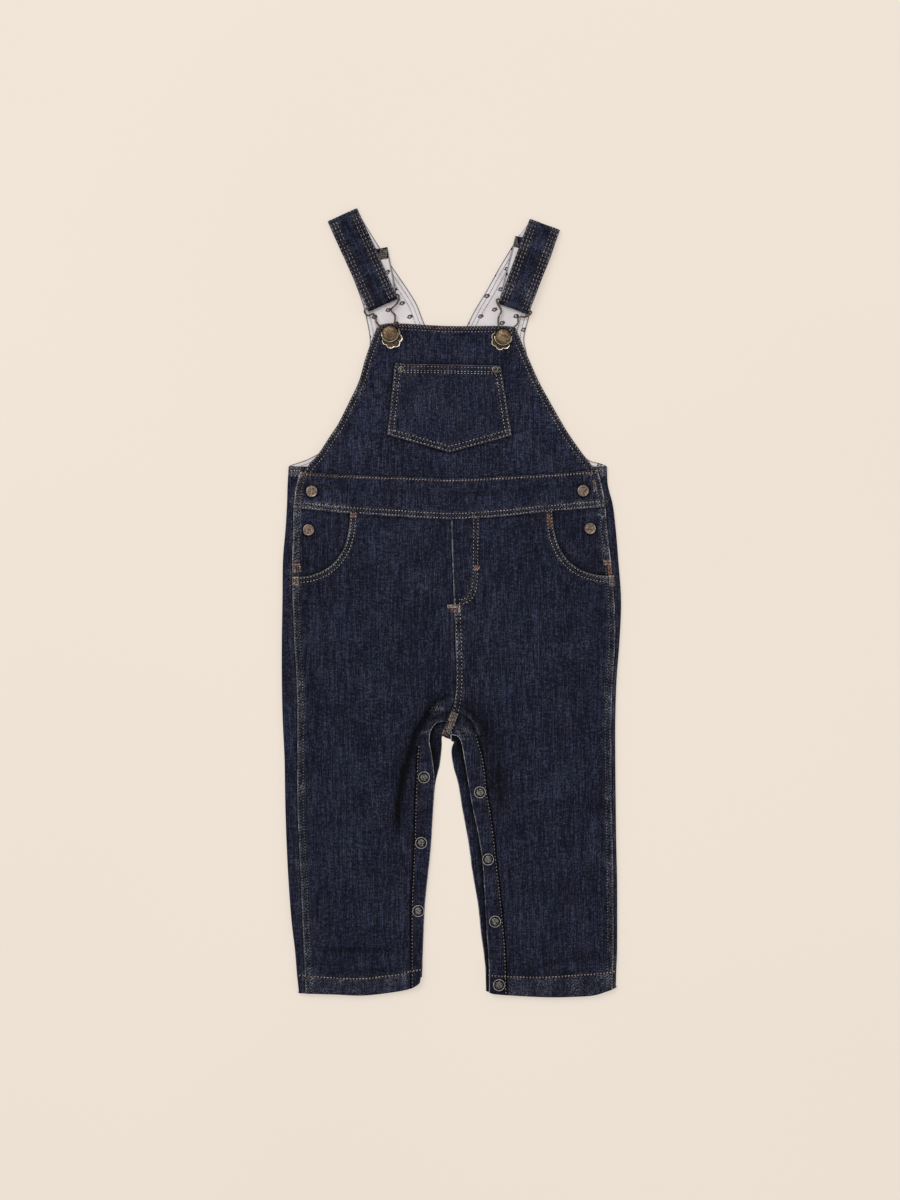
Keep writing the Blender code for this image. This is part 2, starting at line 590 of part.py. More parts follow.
def add_bib():
    """The front bib, its pocket and the fly's flap."""
    columns, rows = 14, 12

    def outside(column, row):
        y_level = BIB_SIDES["y"][0] + (BIB_SIDES["y"][-1] - BIB_SIDES["y"][0]) * row / rows
        left, right = at(BIB_SIDES, "left", y_level), at(BIB_SIDES, "right", y_level)
        x = left + (right - left) * column / columns
        bottom = at(BIB_SEAM, "y", x, "x")
        top = at(BIB_TOP, "y", x, "x")
        y = bottom + (top - bottom) * row / rows
        return x, y, bib_top(x, y)

    cloth("front_bib", outside, columns, rows, DENIM, "indigo denim")
    panel("bib_pocket", smooth(BIB_POCKET["bottom"], 2), smooth(BIB_POCKET["top"], 2), 6,
          lambda x, y: bib_top(x, y) + LIFT, DENIM)
    panel("fly_flap", FLY["edge"], FLY["curve"], 4, lambda x, y: front_top(x, y) + LIFT, DENIM)


def strap_frame(side):
    """A strap's own directions: its fold's middle, down along it, and across it to the viewer's right."""
    fold, end = (np.array(STRAPS[side][key]) for key in ("fold", "end"))
    length = np.linalg.norm(end - fold)
    along = (end - fold) / length
    return fold, along, np.array((-along[1], along[0])), length


def add_back_bib():
    """The back above the waist, and the printed lining on it, both reaching up under the straps."""
    for name, reach, edge, bottom, thick, finish in (
        ("back_bib", STRAP_START + SEAM_GAP, 0.0, 0.0, DENIM, "indigo denim"),
        ("back_lining", 3.6, LINING_INSET, ON_BACK, LINING, "printed lining"),
    ):
        outline = []
        for side, armhole, neckline in (("l", ARMHOLE_L, NECKLINE_L), ("r", ARMHOLE_R, NECKLINE_R)):
            fold, along, across, _ = strap_frame(side)
            half = STRAP_WIDTH / 2 * (1 if side == "l" else -1)
            tip_outer = fold + reach * along - (half - np.sign(half) * edge) * across
            tip_inner = fold + reach * along + (half - np.sign(half) * edge) * across
            inwards = edge if side == "l" else -edge
            up = [*shifted(smooth(armhole, 2), inwards), tip_outer]
            down = [tip_inner, *shifted(smooth(neckline, 2), -inwards)[::-1]]
            outline += [*up, *down] if side == "l" else [*down[::-1], *up[::-1]]
        flat_piece(name, outline, bottom, thick, finish)


def ribbon(name, side, route, width, thick, finish):
    """A flat band of cloth along a strap.

    The route's rows are distance from the fold, height, sideways shift, and how much the row is turned."""
    fold, along, across, _ = strap_frame(side)
    rows, columns = len(route) - 1, 4

    def middle(column, row):
        distance, height, shift, turn = route[rows - row]
        sideways = width * (column / columns - 0.5)
        x, y = fold + (distance + turn * sideways) * along + (sideways + shift) * across
        return x, y, height

    cloth(name, middle, columns, rows, thick, finish, side=0)


def half_turn(centre, radius, start, count=8):
    """Rows of a ribbon's route round half a circle, clockwise from an angle in degrees."""
    angles = [math.radians(start - 180 * i / count) for i in range(count + 1)]
    return [(centre[0] + radius * math.cos(a), centre[1] + radius * math.sin(a), 0, 0) for a in angles]


def strap_front(side, depth, tail_tip):
    """Rows of a strap from behind the fold's front, round the buckle's bar and up to its loose tip.

    depth is how far the middle of this layer lies inside the middle of the denim."""
    strap, length = STRAPS[side], strap_frame(side)[3]
    bar = (length - LOOP_RADIUS, ON_LINING + LOOP_RADIUS)
    tip = length - strap["tail"]
    slope = strap["slant"] / (bar[0] - tip)
    corner = tip - abs(slope) * STRAP_WIDTH / 2
    flat = [(distance, STRAP_LOW) for distance in np.linspace(STRAP_LOW + 2, corner - 6, 3)]
    raised = [(corner + 2, STRAP_HIGH - 0.2), (corner + 12, STRAP_HIGH), (bar[0] - 8, STRAP_HIGH + 1.2)]
    loop = half_turn(bar, LOOP_RADIUS - DENIM / 2 - depth, 90)
    tail = [(distance, loop[-1][1], slope * (bar[0] - distance), slope * ease(0, 20, bar[0] - distance))
            for distance in np.linspace(bar[0] - 6, tip + tail_tip, 6)]
    return [*((d, z - depth, 0, 0) for d, z in flat + raised), *loop, *tail]


def add_straps():
    """Each strap from the back over the shoulder fold, round the buckle's bar and back up behind."""
    radius = (STRAP_LOW - DENIM / 2) / 2
    fold = half_turn((radius + DENIM / 2, radius + DENIM / 2), radius, 270)
    lining_depth = DENIM / 2 + SEAM_GAP + LINING / 2
    for side in STRAPS:
        ribbon(f"strap_{side}", side, [(STRAP_START, DENIM / 2, 0, 0), *fold, *strap_front(side, 0, 0)],
               STRAP_WIDTH, DENIM, "indigo denim")
        ribbon(f"strap_lining_{side}", side, strap_front(side, lining_depth, TAIL_TURN),
               STRAP_WIDTH - 2 * LINING_INSET, LINING, "printed lining")


def add_buckles():
    """The bib buttons, the flower-edged plates behind them and the strap's wires round their shanks."""
    wave = np.linspace(0, 2 * math.pi, PLATE["points"], endpoint=False)
    for side, centre in BIB_BUTTONS.items():
        seat = highest(bib_top, PLATE_CENTRES[side], PLATE["radius"]) + SEAM_GAP
        outline = [(PLATE_CENTRES[side][0] + r * math.cos(a), PLATE_CENTRES[side][1] + r * math.sin(a))
                   for a in wave for r in [PLATE["radius"] + PLATE["wave"] * math.cos(PLATE["lobes"] * a)]]
        flat_piece(f"buckle_plate_{side}", outline, seat, PLATE_THICK, "antique brass")
        on_plate = seat + PLATE_THICK + SEAM_GAP
        turned(f"bib_button_{side}", BIB_BUTTON, BIB_BUTTON_WIDTH, centre, on_plate, 20)
        add_wire(side, centre, on_plate + WIRE_RADIUS)


def add_wire(side, button, low):
    """One buckle wire: the bar in the strap's loop, an arm to each side, and a bend round the shank."""
    fold, along, across, length = strap_frame(side)
    arms = WIRE_ARMS[side]
    bar_middle = fold + (length - LOOP_RADIUS) * along
    high = ON_LINING + LOOP_RADIUS
    reach = STRAP_WIDTH / 2 + 1.8
    sign = 1 if side == "l" else -1
    bar = [(*(bar_middle + sign * k * reach * across), high) for k in (-1, -0.5, 0, 0.5, 1)]
    route = list(bar)
    for points in (arms["inner"], arms["outer"][::-1]):
        for x, y in points:
            share = ease(6.0, 20.0, y)
            route.append((button[0] + x, button[1] + y, low + (high - low) * share))
    wire(f"buckle_wire_{side}", [tuple(p) for p in smooth(route, 2)])


def add_small_fittings():
    """Side buttons, snaps and the bib pocket's rivets, each on the cloth that it is set in."""
    for name, centre in SIDE_BUTTONS.items():
        height = waistband_top if name.startswith("upper") else inset_top
        seat = highest(height, centre, SIDE_BUTTON_WIDTH / 2) + SEAM_GAP
        turned(f"side_button_{name}", SIDE_BUTTON, SIDE_BUTTON_WIDTH, centre, seat, 14)
    for side, centres in SNAPS.items():
        for number, centre in enumerate(centres, 1):
            seat = highest(placket_top, centre, SNAP_WIDTH / 2) + SEAM_GAP
            turned(f"snap_{side}{number}", SNAP, SNAP_WIDTH, centre, seat, 14)
    for side, centre in RIVETS.items():
        seat = highest(bib_top, centre, RIVET_WIDTH / 2) + DENIM + 2 * SEAM_GAP
        turned(f"pocket_rivet_{side}", RIVET, RIVET_WIDTH, centre, seat, 12)


add_back_legs()
add_back_waistband()
add_back_bib()
add_plackets()
add_hems()
add_front_legs()
add_insets()
add_waistband()
add_bib()
add_straps()
add_buckles()
add_small_fittings()
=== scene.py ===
"""Kids dungarees in dark indigo denim, laid flat, face up: cloth, stitching, print and brass fittings.

Lengths are millimetres in the tables and the functions, and become metres in the meshes. X runs to the
viewer's right, Y from the hems to the shoulders, Z up from the surface that the garment lies on.
"""

import math

import bpy
import numpy as np
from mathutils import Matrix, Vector
from mathutils.bvhtree import BVHTree


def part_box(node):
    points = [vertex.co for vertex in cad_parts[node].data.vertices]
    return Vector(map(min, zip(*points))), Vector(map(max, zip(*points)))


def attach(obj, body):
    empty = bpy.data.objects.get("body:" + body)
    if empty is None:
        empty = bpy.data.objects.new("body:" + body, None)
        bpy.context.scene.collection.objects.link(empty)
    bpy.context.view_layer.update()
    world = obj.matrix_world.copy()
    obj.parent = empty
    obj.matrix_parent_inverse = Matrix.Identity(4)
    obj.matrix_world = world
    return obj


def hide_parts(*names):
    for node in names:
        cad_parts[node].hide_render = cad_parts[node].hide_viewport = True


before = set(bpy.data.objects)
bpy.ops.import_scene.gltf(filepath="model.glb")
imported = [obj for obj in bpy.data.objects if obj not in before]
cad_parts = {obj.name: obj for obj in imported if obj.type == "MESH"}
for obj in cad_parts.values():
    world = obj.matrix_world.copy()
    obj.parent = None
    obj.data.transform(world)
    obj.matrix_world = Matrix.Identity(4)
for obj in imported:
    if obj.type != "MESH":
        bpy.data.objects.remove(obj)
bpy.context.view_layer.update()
MM = 0.001
SPACING = 1.6  # between the points of the cloth
SIGN = {"l": -1, "r": 1}  # the way out from the middle, on the viewer's left and right

# ------------------------------------------------------------------------------------------ sizes

DENIM = 1.0
LINING = 1.0
DOUBLE = 2.0
SEAM_GAP = 0.3
HAIR = 0.04  # what is left between pieces that are sewn edge to edge
SIDE_HEIGHT = 4.0
STRAP_WIDTH = 26.0
WIRE_RADIUS = 0.65
HEM_BOTTOM_Y = -313.4
HEM_CURVE_Y = -284.0
HEM_TOP_Y = -298.5
WAIST_JOIN_Y = 75.4
BACK_TOP_Y = 108.6
BACK_FOOT_Y = 109.3  # of what is above the waistband
NECK_Y = 208.5  # the lowest point of the back's neckline, and the level where the back divides
NECK_SPLIT_Y = 206.0
ON_BACK = DENIM + SEAM_GAP
ON_LINING = ON_BACK + LINING + SEAM_GAP
ON_HEMS = ON_BACK + 2 * (DENIM + SEAM_GAP)
LIFT = SEAM_GAP + DENIM
HEM_TURN = 1.1  # radius of the fold at a hem's lower edge
HEM_TURN_STEPS = 6
EDGE_STEPS = (0.0, 0.35, 0.9, 1.7)  # of the points near a rounded edge

# How the front lies over the air inside.
FRONT_REST = 2.0
SEAM_RISE = 1.4
SEAM_RISE_WIDTH = 7.0
LEG_FULLNESS = 1.1
BIB_REST = 0.4
BIB_FULLNESS = 0.9
WAISTBAND_PROUD = 0.7

# Distances of topstitch rows from the edge or the seam that they follow.
TWIN_ROWS = (1.15, 4.6)
STRAP_ROWS = (1.2, 3.7, 6.2)
LINING_ROWS = (3.2, 6.4)
BETWEEN = (2.9,)  # a row of faint rungs between the twin ones
PLACKET_ROWS = (1.0,)
POCKET_ROWS = (2.0, 5.2, 6.8)

SIDES = {
    "y": (109, 93.8, 77.8, 57.8, 33.8, 1.8, -30, -62, -94, -126, -158, -190, -222, -254, -278, -298, -314),
    "out_l": (
        -129.8, -130.7, -131.2, -132.4, -134.4, -134.8, -135.3, -135.3, -134.6, -133.1, -132.6, -131.6,
        -130, -127.6, -124.8, -123.2, -121.6
    ),
    "seam_l": (
        -119, -122.4, -125.6, -126, -126.8, -126.4, -125.2, -123.4, -122.7, -122.7, -122.7, -121.6, -120,
        -118.6, -117.6, -116.8, -116.4
    ),
    "seam_r": (
        117.4, 119.8, 123.2, 124.8, 127.6, 130.4, 131.2, 129.2, 128.2, 128.2, 128.5, 129.1, 129.7, 129.9,
        129.9, 129.3, 129
    ),
    "out_r": (
        124.8, 125.4, 129.4, 131.8, 133.8, 136, 134.8, 132.4, 131.4, 131.4, 131.7, 132.1, 132.8, 132.9,
        132.8, 132.1, 131.8
    ),
}
WAIST_LINE = {
    "x": (-127, -112.8, -80.8, -40, -0.4, 39.2, 76, 119.2, 124),
    "y": (75.6, 74.3, 71.2, 68.7, 66.5, 68.7, 72.4, 76.3, 77),
}
WAIST_LEVEL = 71.2  # where the front's height gives the waistband's
BIB_SEAM = {"x": (-121, -80, -40, 0, 40, 80, 118), "y": (103.4, 101, 99.6, 98.2, 99.8, 102, 105)}
BIB_TOP = {"x": (-58, -45, -1, 43, 53), "y": (221.4, 223, 220.8, 220.8, 218.8)}
BIB_SIDES = {
    "y": (105, 114.6, 121.8, 136.2, 145.8, 161.8, 178.6, 195.4, 213, 221),
    "left": (-119.2, -112.2, -105.9, -96.4, -90, -81.8, -73.6, -68.6, -62, -58),
    "right": (116.2, 110, 104.5, 94.8, 89, 80, 70.7, 63, 55.2, 51.8),
}
WAISTBAND_ENDS = {
    "y": (76, 80, 90, 97, 105),
    "left": (-125.6, -125.3, -124.1, -122.6, -119.9),
    "right": (123.2, 122.9, 121.0, 119.5, 116.9),
}
HEM_EDGE = {
    "x": (-122, -94, -70, -46, -33, -27, -24, -22.6, 28, 34, 48, 77, 100, 114, 124, 132),
    "y": (
        -312.6, -313.4, -314.2, -311.6, -309, -306, -303, -299.6, -311.4, -313, -314.2, -315.6, -315.2,
        -314.2, -311.2, -308.2
    ),
}
# The row of stitches along the hems.
HEM_ROW = {
    "x": (-124, -116.8, -96.8, -80.8, -64.8, -52.8, -40.8, -22, 28, 32, 52, 77, 100, 120, 132),
    "y": (
        -297.6, -298.2, -299.8, -300.6, -300.2, -298.6, -297.2, -293.4, -297.4, -298, -299.2, -299.4,
        -297.8, -296.4, -294.6
    ),
}
CENTRE_SEAM = (
    (-0.4, 65.8), (0.2, 53), (0.8, 40), (1.2, 28), (1.8, 15), (2.3, 2), (2.9, -12), (3.8, -35), (4.2, -58),
    (3.4, -76), (-0.4, -87)
)
CENTRE_SIDE_Y = (7, -8, -33, -58, -77, -90)
PLACKETS = {
    "l": {
        "outer": (
            (-0.9, -87.4), (-8, -88.2), (-16, -93.4), (-21.6, -102.2), (-25.6, -111), (-27.2, -119.8),
            (-27.6, -130.2), (-28, -142.2), (-28.8, -158.2), (-29.2, -178.2), (-29.8, -198.2),
            (-30.8, -218.2), (-31.8, -238.2), (-32, -258.2), (-32, -274), (-32, -286), (-32, -297),
            (-32, HEM_BOTTOM_Y)
        ),
        "inner": (
            (-3.4, -95.4), (-6.8, -95.4), (-12, -97), (-16.2, -103), (-17.2, -111), (-15.6, -119.8),
            (-14.2, -130.2), (-13.2, -142.2), (-13.8, -158.2), (-15, -178.2), (-16.3, -198.2),
            (-18.4, -218.2), (-20.5, -238.2), (-21.6, -258.2), (-22.2, -274), (-22.6, -286), (-22.7, -297),
            (-23.1, HEM_BOTTOM_Y)
        ),
        "side_y": (
            -90, -98, -106, -114, -121, -128, -136, -146, -160, -179, -198, -218, -238, -258, -274, -286,
            -297, HEM_BOTTOM_Y
        ),
        "back_outer": (
            (-0.2, -92), (-10, -95), (-19, -102), (-21.5, -116), (-23.5, -130), (-25.5, -145),
            (-26.5, -165), (-28.5, -190), (-31, -215), (-33.5, -240), (-35, -265), (-36, -290),
            (-37, HEM_BOTTOM_Y)
        ),
        "back_inner": (
            (-0.2, -109.6), (-4, -108.4), (-7.2, -107.4), (-7.4, -116), (-9, -130), (-12.5, -145),
            (-14.2, -165), (-15.8, -190), (-18.4, -215), (-20.7, -240), (-22, -265), (-23.0, -290),
            (-24.2, HEM_BOTTOM_Y)
        ),
    },
    "r": {
        "outer": (
            (-0.4, -87), (5.2, -87.8), (12, -90.6), (17.6, -97.4), (20.8, -106.2), (23.2, -115),
            (25.6, -123.8), (27.6, -135.8), (28.8, -150.2), (32, -167.8), (34.8, -188.6), (36.8, -207.8),
            (39.2, -228.6), (41.2, -247.8), (43.2, -270.2), (44, -285), (44.4, -297), (44.8, HEM_BOTTOM_Y)
        ),
        "inner": (
            (-4, -104), (0, -105.8), (4.4, -106.8), (7, -109.4), (8.6, -113.5), (9.4, -118), (10.4, -124),
            (12.4, -136), (14.8, -150.2), (18, -167.8), (22.4, -188.6), (25.2, -207.8), (26.6, -228.6),
            (27.6, -247.8), (29, -270.2), (30, -285), (30.4, -297), (30.4, HEM_BOTTOM_Y)
        ),
        "side_y": (
            -90, -97, -105, -113, -120, -127, -134, -143, -155, -170, -189, -208, -229, -248, -270, -285,
            -297, HEM_BOTTOM_Y
        ),
        "back_outer": (
            (0.2, -92), (9, -97), (15, -106), (15.5, -118), (17.5, -130), (20, -145), (22.5, -165),
            (26.8, -190), (30.5, -215), (34.5, -240), (37.5, -265), (40, -290), (41, HEM_BOTTOM_Y)
        ),
        "back_inner": (
            (0.2, -110.8), (1.2, -111.4), (2.2, -112), (0.4, -118), (1.6, -130), (5.7, -145), (9, -165),
            (13.6, -190), (17, -215), (21.3, -240), (24, -265), (27.2, -290), (28, HEM_BOTTOM_Y)
        ),
    },
}
BACK_CENTRE = ((0, WAIST_JOIN_Y), (0, 40), (0, 5), (0, -30), (0, -62), (0, -92))
BACK_SIDE_Y = (
    WAIST_JOIN_Y, 40, 5, -30, -62, -90, -100, -112, -122, -132, -146, -165, -190, -215, -240, -265, -290,
    HEM_BOTTOM_Y
)
OPENING_POWER = 2.4
OPENINGS = {
    "l": {"centre": (-126.6, 71.2), "reach": (45.8, 51.0), "facing": 1},
    "r": {"centre": (128.6, 72.4), "reach": (47.2, 51.4), "facing": -1},
}
INSET_LAP = 1.13
SHOULDERS = {
    "l": {
        "armhole": (
            (-129.4, 109.3), (-121, 112), (-112, 115.6), (-99, 124), (-87, 140), (-77, 160), (-70, 180),
            (-66, 200), (-65, 212), (-68.8, 231.4), (-72, 242.6), (-80, 263.4), (-88.6, 282.6)
        ),
        "neckline": (
            (-3, 208), (-13, 211), (-20.8, 221.8), (-27.2, 237.8), (-34.4, 249.8), (-48, 269.8),
            (-58.4, 285.8), (-64.8, 296.2)
        ),
    },
    "r": {
        "armhole": (
            (124.2, 109.3), (118, 111.4), (110.6, 113.6), (97, 124), (83, 140), (72, 160), (64.6, 180),
            (60.4, 200), (58.6, 212), (63, 229.8), (64.6, 237.8), (71.6, 256), (79.4, 275)
        ),
        "neckline": (
            (3, 209), (8, 213), (12.8, 221.4), (19.2, 233.8), (28.8, 249.8), (37.6, 265.8), (47.2, 281.8),
            (54, 293.2)
        ),
    },
}
STRAPS = {
    "l": {"fold": (-86.9, 309.8), "end": (-54.2, 237.2), "tail": 44.2, "slant": 9.3},
    "r": {"fold": (75.1, 302.0), "end": (49.8, 234.2), "tail": 57.0, "slant": -6.0},
}
LOOP_RADIUS = WIRE_RADIUS + SEAM_GAP + LINING + SEAM_GAP + DENIM
STRAP_START = 9.0
STRAP_LOW = 4.4
STRAP_HIGH = 7.0
TAIL_TURN = 9.0
LINING_INSET = 0.4
LINING_REACH = 3.6  # of the lining past the shoulder's fold
BIB_POCKET = {
    "top": ((-44.8, 190.6), (-22.4, 190.2), (0, 189.8), (20, 189.4), (39.6, 189)),
    "bottom": ((-50.8, 133.8), (-26, 126.8), (-1.2, 119.8), (24, 126.6), (48.4, 133.4)),
}
FLY = {
    "edge": ((0.5, 64.6), (0.9, 48), (1.3, 32), (1.9, 16), (2.3, 4), (2.5, -1), (3.4, -3)),
    "curve": ((22.8, 66.0), (22.6, 50), (22.4, 35), (22.2, 20), (20.8, 9), (16.4, 1), (9, -2.8)),
}

PLACKET_SEWN = {"l": -115, "r": -106}  # where the plackets' stitches start
CROTCH_SEAM = ((4.2, -58), (3.8, -70), (2.2, -82), (-1.2, -94), (-5.4, -106))

# Bar tacks by thread: the middle, length, width, and angle in degrees.
TACK_STITCH = 1.5
TACKS = {
    "cream": (
        (-123.4, 30.2, 6.4, 1.4, 0), (-124.8, 27.0, 5.6, 1.2, 90), (-120.8, 27.0, 5.0, 1.2, 90),
        (-123.8, 19.8, 5.4, 1.2, 5), (-123.8, 14.2, 5.6, 1.2, -8), (125.4, 33.0, 6.6, 1.2, 0),
        (125.4, 30.4, 6.6, 1.2, 0), (128.6, 20.8, 4.4, 1.2, 0), (-77.2, 68.6, 5.6, 1.2, 0),
        (1.6, -3.2, 8.4, 3.0, 4), (6.6, -4.6, 7.0, 1.2, 88), (21.2, 26.8, 5.0, 1.2, 28)
    ),
    "orange": (
        (-123.4, 32.8, 6.0, 2.2, 0), (-122.8, 27.0, 5.6, 1.4, 90), (125.4, 31.7, 6.0, 1.2, 0),
        (126.8, 25.4, 8.8, 2.6, 94), (-77.2, 69.8, 5.6, 2.6, 0), (78.4, 66.0, 12, 2.6, 98),
        (2.8, -6.6, 5.4, 2.4, 0), (21.0, 28.4, 4.6, 2.4, 20)
    ),
    "tan": (
        (-123.8, 17.0, 5.4, 2.6, 0), (128.4, 17.3, 8.0, 4.2, 94), (-117.6, 102.4, 5.6, 2.8, 20),
        (111.2, 102.4, 3.6, 3.0, 0), (114.6, 93.3, 9.0, 3.0, 98), (-0.6, -96.8, 20.0, 5.8, 66),
        (-53.8, 278.0, 6.0, 8.6, -6), (51.6, 287.6, 4.6, 8.0, 10)
    ),
}

# Rows of stitches on the scuffed cloth beside the crotch, from one place to another.
SCUFFS = {
    "l": ((-15.0, -84.2, -5.0, -83.4), (-16.0, -86.5, -4.6, -86.0), (-14.0, -88.8, -7.0, -88.6)),
    "r": ((8.4, -101.0, 13.4, -100.2), (8.6, -103.4, 16.0, -102.8), (9.6, -106.0, 17.0, -106.4)),
}

# Folds of the front: half width, height, below 0 for a trough, and the line.
FOLDS = (
    (8, -0.9, (-10, -72), (-30, -108)),
    (8, -0.9, (-30, -108), (-42, -150)),
    (12, 1.2, (-28, -78), (-56, -160)),
    (8, -0.8, (12, -78), (34, -106)),
    (8, -0.8, (34, -106), (42, -150)),
    (12, 1.1, (36, -84), (58, -160)),
    (14, 0.8, (-112, -20), (-62, -60)),
    (14, 0.8, (112, -10), (60, -56)),
    (13, 0.8, (-112, -196), (-60, -214)),
    (13, 0.8, (60, -210), (112, -192)),
    (7, -0.8, (-108, -280), (-40, -279)),
    (7, -0.8, (62, -287), (112, -282)),
)

# Finer creases of the cloth, added to the folds: half width, height, how dark it is there, with dye gathered
# in it and painted shade, how worn it is, or None where that follows from the height, and the line.
CREASES = (
    # Scuffed and shaded places round the crotch.
    (2.0, 0.3, 0, 0.3, (-14, -82.6), (-5, -86.4)),
    (2.6, 0.2, 0, 0.3, (9.5, -99.5), (16, -106)),
    (9.0, 0, 0.38, None, (-8, -70), (-22, -94), (-32, -116), (-39, -142), (-43, -176)),
    (9.0, 0, 0.62, None, (18, -86), (30, -106), (37, -130), (41, -162)),
    (2.2, -0.8, 0.9, None, (-2.5, -73), (-5.5, -76), (-11, -80)),
    # Deep ones that run down and out from the crotch.
    (2.7, -1.8, 1.45, None, (-7, -70), (-12, -78.6), (-19.2, -89.9), (-27.2, -103), (-31.2, -115),
     (-34.6, -128), (-38.2, -142)),
    (4.4, -0.7, 1.1, None, (-27.2, -103), (-33.6, -125.4), (-38.2, -139.8), (-42, -160), (-44, -190)),
    (2.2, 0.5, 0, None, (-34, -126), (-31.5, -176)),
    (5.0, 0.5, 0, None, (-18, -74), (-33, -100), (-42, -124)),
    (1.5, 0.7, 0, None, (-4, -77), (-9, -80), (-15, -88)),
    (1.3, -0.7, 0.5, None, (-17, -94), (-8, -91.5), (-3, -91)),
    (1.3, 0.6, 0, None, (-19.5, -98), (-12, -94.5), (-5, -94)),
    (1.3, 0.7, 0, 0.35, (-24.4, -105), (-20, -103.5), (-15.2, -102.6)),
    (1.5, -0.7, 0.5, None, (-25, -109), (-17, -107.5)),
    (1.2, 0.7, 0, 0.2, (4.8, -85.6), (15.2, -91.6), (21.3, -101.4), (23.8, -109.8)),
    (2.6, -1.2, 0.85, None, (8, -82), (18, -88.4), (26, -99), (31, -113)),
    (4.6, -0.9, 0.6, None, (24, -96), (31, -113), (36, -132), (40, -156), (43, -180)),
    (1.1, 0.8, 0, 0.45, (3, -99.6), (5.3, -103.8), (8.6, -108.9), (13.6, -109.8)),
    (1.6, -0.7, 0.5, None, (8, -103), (13, -106), (18, -106)),
    (1.0, 0.7, 0, None, (9.5, -119), (13.6, -122)),
    # The end of the felled centre seam, over the plackets.
    (3.0, 0.9, 0, None, (3.6, -82), (-0.5, -96), (-4.6, -107)),
    (1.0, -0.6, 0.7, None, (-1.0, -82), (-4.5, -94), (-8.6, -106)),
    (1.2, -0.6, 0.6, None, (7.4, -88), (4.2, -98), (0.6, -106)),
    # Across the left hem and above it, then across the right one.
    (2.0, -0.8, 0.55, None, (-113, -279.4), (-80, -277.4), (-37, -280)),
    (2.4, 0.5, 0, None, (-112, -275), (-70, -273.6), (-37, -275.4)),
    (1.6, -0.6, 0.45, None, (-112, -289.4), (-92, -289.4)),
    (1.6, -0.6, 0.45, None, (-85, -293.6), (-60, -294.4), (-40, -292.4)),
    (1.8, -0.8, 0.55, None, (66, -289.6), (96, -285.4), (118, -283)),
    (2.6, 0.4, 0, None, (46, -283), (78, -280), (112, -276)),
    (1.8, -0.5, 0.3, None, (52, -292), (88, -293)),
    # In the left pocket's inset, and beside the left side seam.
    (1.3, -0.6, 0.5, None, (-119.2, 37), (-116.8, 33), (-109.6, 28.2), (-104, 27.4)),
    (1.3, -0.5, 0.4, None, (-120, 1), (-114.4, -1.4)),
    (1.4, -0.4, 0.3, None, (-119, -26), (-111, -24)),
    (0.7, 0.5, 0, None, (107, 84.6), (113.6, 86.6)),
    # Long shallow ones over the legs, the seat and the bib.
    (6.0, -0.25, 0.05, None, (-98, 30), (-60, 4)),
    (7.0, 0.25, 0, None, (-90, 8), (-40, -24)),
    (6.0, -0.25, 0.05, None, (92, 24), (54, -8)),
    (8.0, 0.25, 0, None, (40, -30), (80, -70)),
    (7.0, 0.3, 0, None, (-60, -150), (-100, -128)),
    (6.0, -0.35, 0.08, None, (-50, -178), (-96, -164)),
    (6.0, -0.35, 0.08, None, (60, -170), (108, -150)),
    (6.0, -0.35, 0.1, None, (56, -236), (104, -226)),
    (6.0, -0.35, 0.12, None, (52, -246), (100, -262)),
    (6.0, 0.3, 0, None, (-52, -240), (-104, -232)),
    (5.0, -0.3, 0.05, None, (-70, 208), (-40, 204), (30, 203)),
    (4.0, -0.3, 0.08, None, (-96, 118), (-60, 108), (-10, 106)),
)

# Puckers across the plackets: y and x of the middle, slope and height.
PUCKER_HALF = 1.6
PUCKER_REACH = 9.0
PUCKERS = {
    "l": (
        (-120, -22, 0.3, 0.6), (-127, -24, 0.2, -0.5), (-146, -20, -0.2, 0.5), (-152, -22, 0.1, -0.4),
        (-160, -20, 0.2, 0.55), (-168, -24, 0.2, -0.4), (-179, -20, -0.1, 0.5), (-188, -23, 0.2, -0.4),
        (-197, -22, 0.1, 0.35), (-213, -24, -0.2, 0.5), (-221, -26, 0.1, -0.4), (-233, -25, 0.2, 0.45),
        (-246, -26, -0.1, -0.4), (-258, -27, 0.2, 0.4), (-268, -27, -0.2, -0.35), (-280, -28, 0.1, 0.5),
        (-290, -28, 0.0, -0.4)
    ),
    "r": (
        (-121, 14, -0.3, 0.55), (-130, 18, -0.4, 0.4), (-141, 19, -0.3, -0.5), (-158, 22, -0.2, 0.5),
        (-163, 22, 0.1, -0.4), (-172, 24, 0.1, 0.4), (-186, 28, -0.2, -0.4), (-197, 28, 0.2, 0.5),
        (-210, 32, -0.1, -0.4), (-221, 32, 0.2, 0.45), (-234, 34, -0.2, 0.4), (-244, 33, 0.1, -0.4),
        (-256, 35, 0.2, 0.45), (-268, 36, -0.1, -0.35), (-281, 37, 0.1, 0.5), (-291, 37, -0.1, -0.4)
    ),
}

# ------------------------------------------------------------------------------------------ curves


def smooth(points, steps=24):
    """Points along a curve through the given ones, that many to each stretch."""
    knots = np.array(points, float)
    knots = np.vstack((2 * knots[0] - knots[1], knots, 2 * knots[-1] - knots[-2]))
    t = (np.arange(steps) / steps)[:, None]
    runs = [0.5 * (2 * b + (c - a) * t + (2 * a - 5 * b + 4 * c - d) * t ** 2
                   + (3 * b - a - 3 * c + d) * t ** 3)
            for a, b, c, d in zip(knots, knots[1:], knots[2:], knots[3:])]
    return np.vstack((*runs, knots[-2]))


def travelled(line):
    """How far each point of a line lies along it."""
    return np.concatenate(([0.0], np.cumsum(np.linalg.norm(np.diff(line, axis=0), axis=1))))


def picked(line, along, where):
    """Points of a line at these places along it."""
    return np.column_stack([np.interp(where, along, line[:, k]) for k in range(line.shape[1])])


